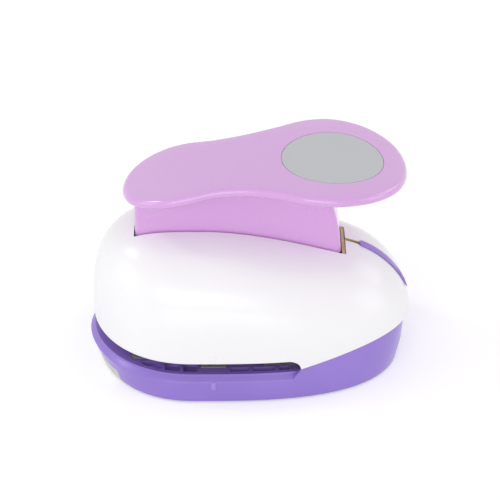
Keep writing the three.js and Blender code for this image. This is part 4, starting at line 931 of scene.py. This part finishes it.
bpy.ops.object.select_all(action="DESELECT")
bpy.ops.mesh.primitive_plane_add(size=6.0, location=(0, 0, -0.0002))
table = bpy.context.object
table.name = "white_sweep"
bpy.ops.object.transform_apply(location=True, rotation=True, scale=True)
white_paper, paper_skin = new_material("white_backdrop_paper")
paper_seen = seen_by(white_paper, "Is Camera Ray", "Is Glossy Ray")
paper_glow = add(white_paper, "ShaderNodeMapRange", {
    "Value": paper_seen, "To Min": 0.0, "To Max": PAPER_GLOW})
wire(paper_skin, {"Base Color": (0.86, 0.86, 0.86, 1.0), "Roughness": 0.9, "Specular IOR Level": 0.0,
                  "Emission Color": WHITE, "Emission Strength": paper_glow})
table.data.materials.append(white_paper)

world = bpy.data.worlds.new("studio")
bpy.context.scene.world = world
world.use_nodes = True
sky_seen = seen_by(world, "Is Camera Ray", "Is Transmission Ray", "Is Glossy Ray")
sky_light = add(world, "ShaderNodeMapRange", {"Value": sky_seen, "To Min": SKY_LEVEL, "To Max": 1.0})
wire(world.node_tree.nodes["Background"], {"Color": WHITE, "Strength": sky_light})


def soft_lamp(name, place, width, height, power):
    """A soft box that looks at the foot of the punch; metres and watts."""
    lamp = bpy.data.lights.new(name, "AREA")
    lamp.shape = "RECTANGLE"
    lamp.size = width
    lamp.size_y = height
    lamp.energy = power
    holder = bpy.data.objects.new(name, lamp)
    bpy.context.scene.collection.objects.link(holder)
    holder.location = place
    holder.rotation_euler = (-holder.location).to_track_quat("-Z", "Y").to_euler()


soft_lamp("front_box", (-0.25, -1.1, 0.66), 0.9, 0.3, 2.7)
soft_lamp("low_front_box", (-0.1, -1.25, 0.17), 1.1, 0.3, 1.5)
soft_lamp("left_box", (-1.0, -0.25, 0.4), 0.6, 0.6, 1.1)
soft_lamp("right_box", (1.0, -0.3, 0.4), 0.6, 0.6, 1.3)
soft_lamp("left_top_box", (-0.95, 0.15, 1.0), 0.22, 0.22, 1.6)
soft_lamp("right_rear_box", (0.85, 0.35, 0.6), 0.5, 0.5, 0.9)

LENS, SENSOR = 127.94, 36.0
EYE_DISTANCE, EYE_TILT = 0.9, math.radians(32.85)
TARGET_X, TARGET_Z = 0.00044, 0.0575
photo_camera = bpy.data.cameras.new("photo_camera")
photo_camera.sensor_width = SENSOR
photo_camera.lens = LENS
photo_camera.clip_start = 0.01
photo_camera.clip_end = 20.0
eye = bpy.data.objects.new("photo_camera", photo_camera)
bpy.context.scene.collection.objects.link(eye)
eye.location = (TARGET_X, -EYE_DISTANCE * math.cos(EYE_TILT), TARGET_Z + EYE_DISTANCE * math.sin(EYE_TILT))
eye.rotation_euler = (math.pi / 2.0 - EYE_TILT, 0.0, 0.0)
bpy.context.scene.camera = eye
bpy.context.scene.view_settings.view_transform = "Standard"
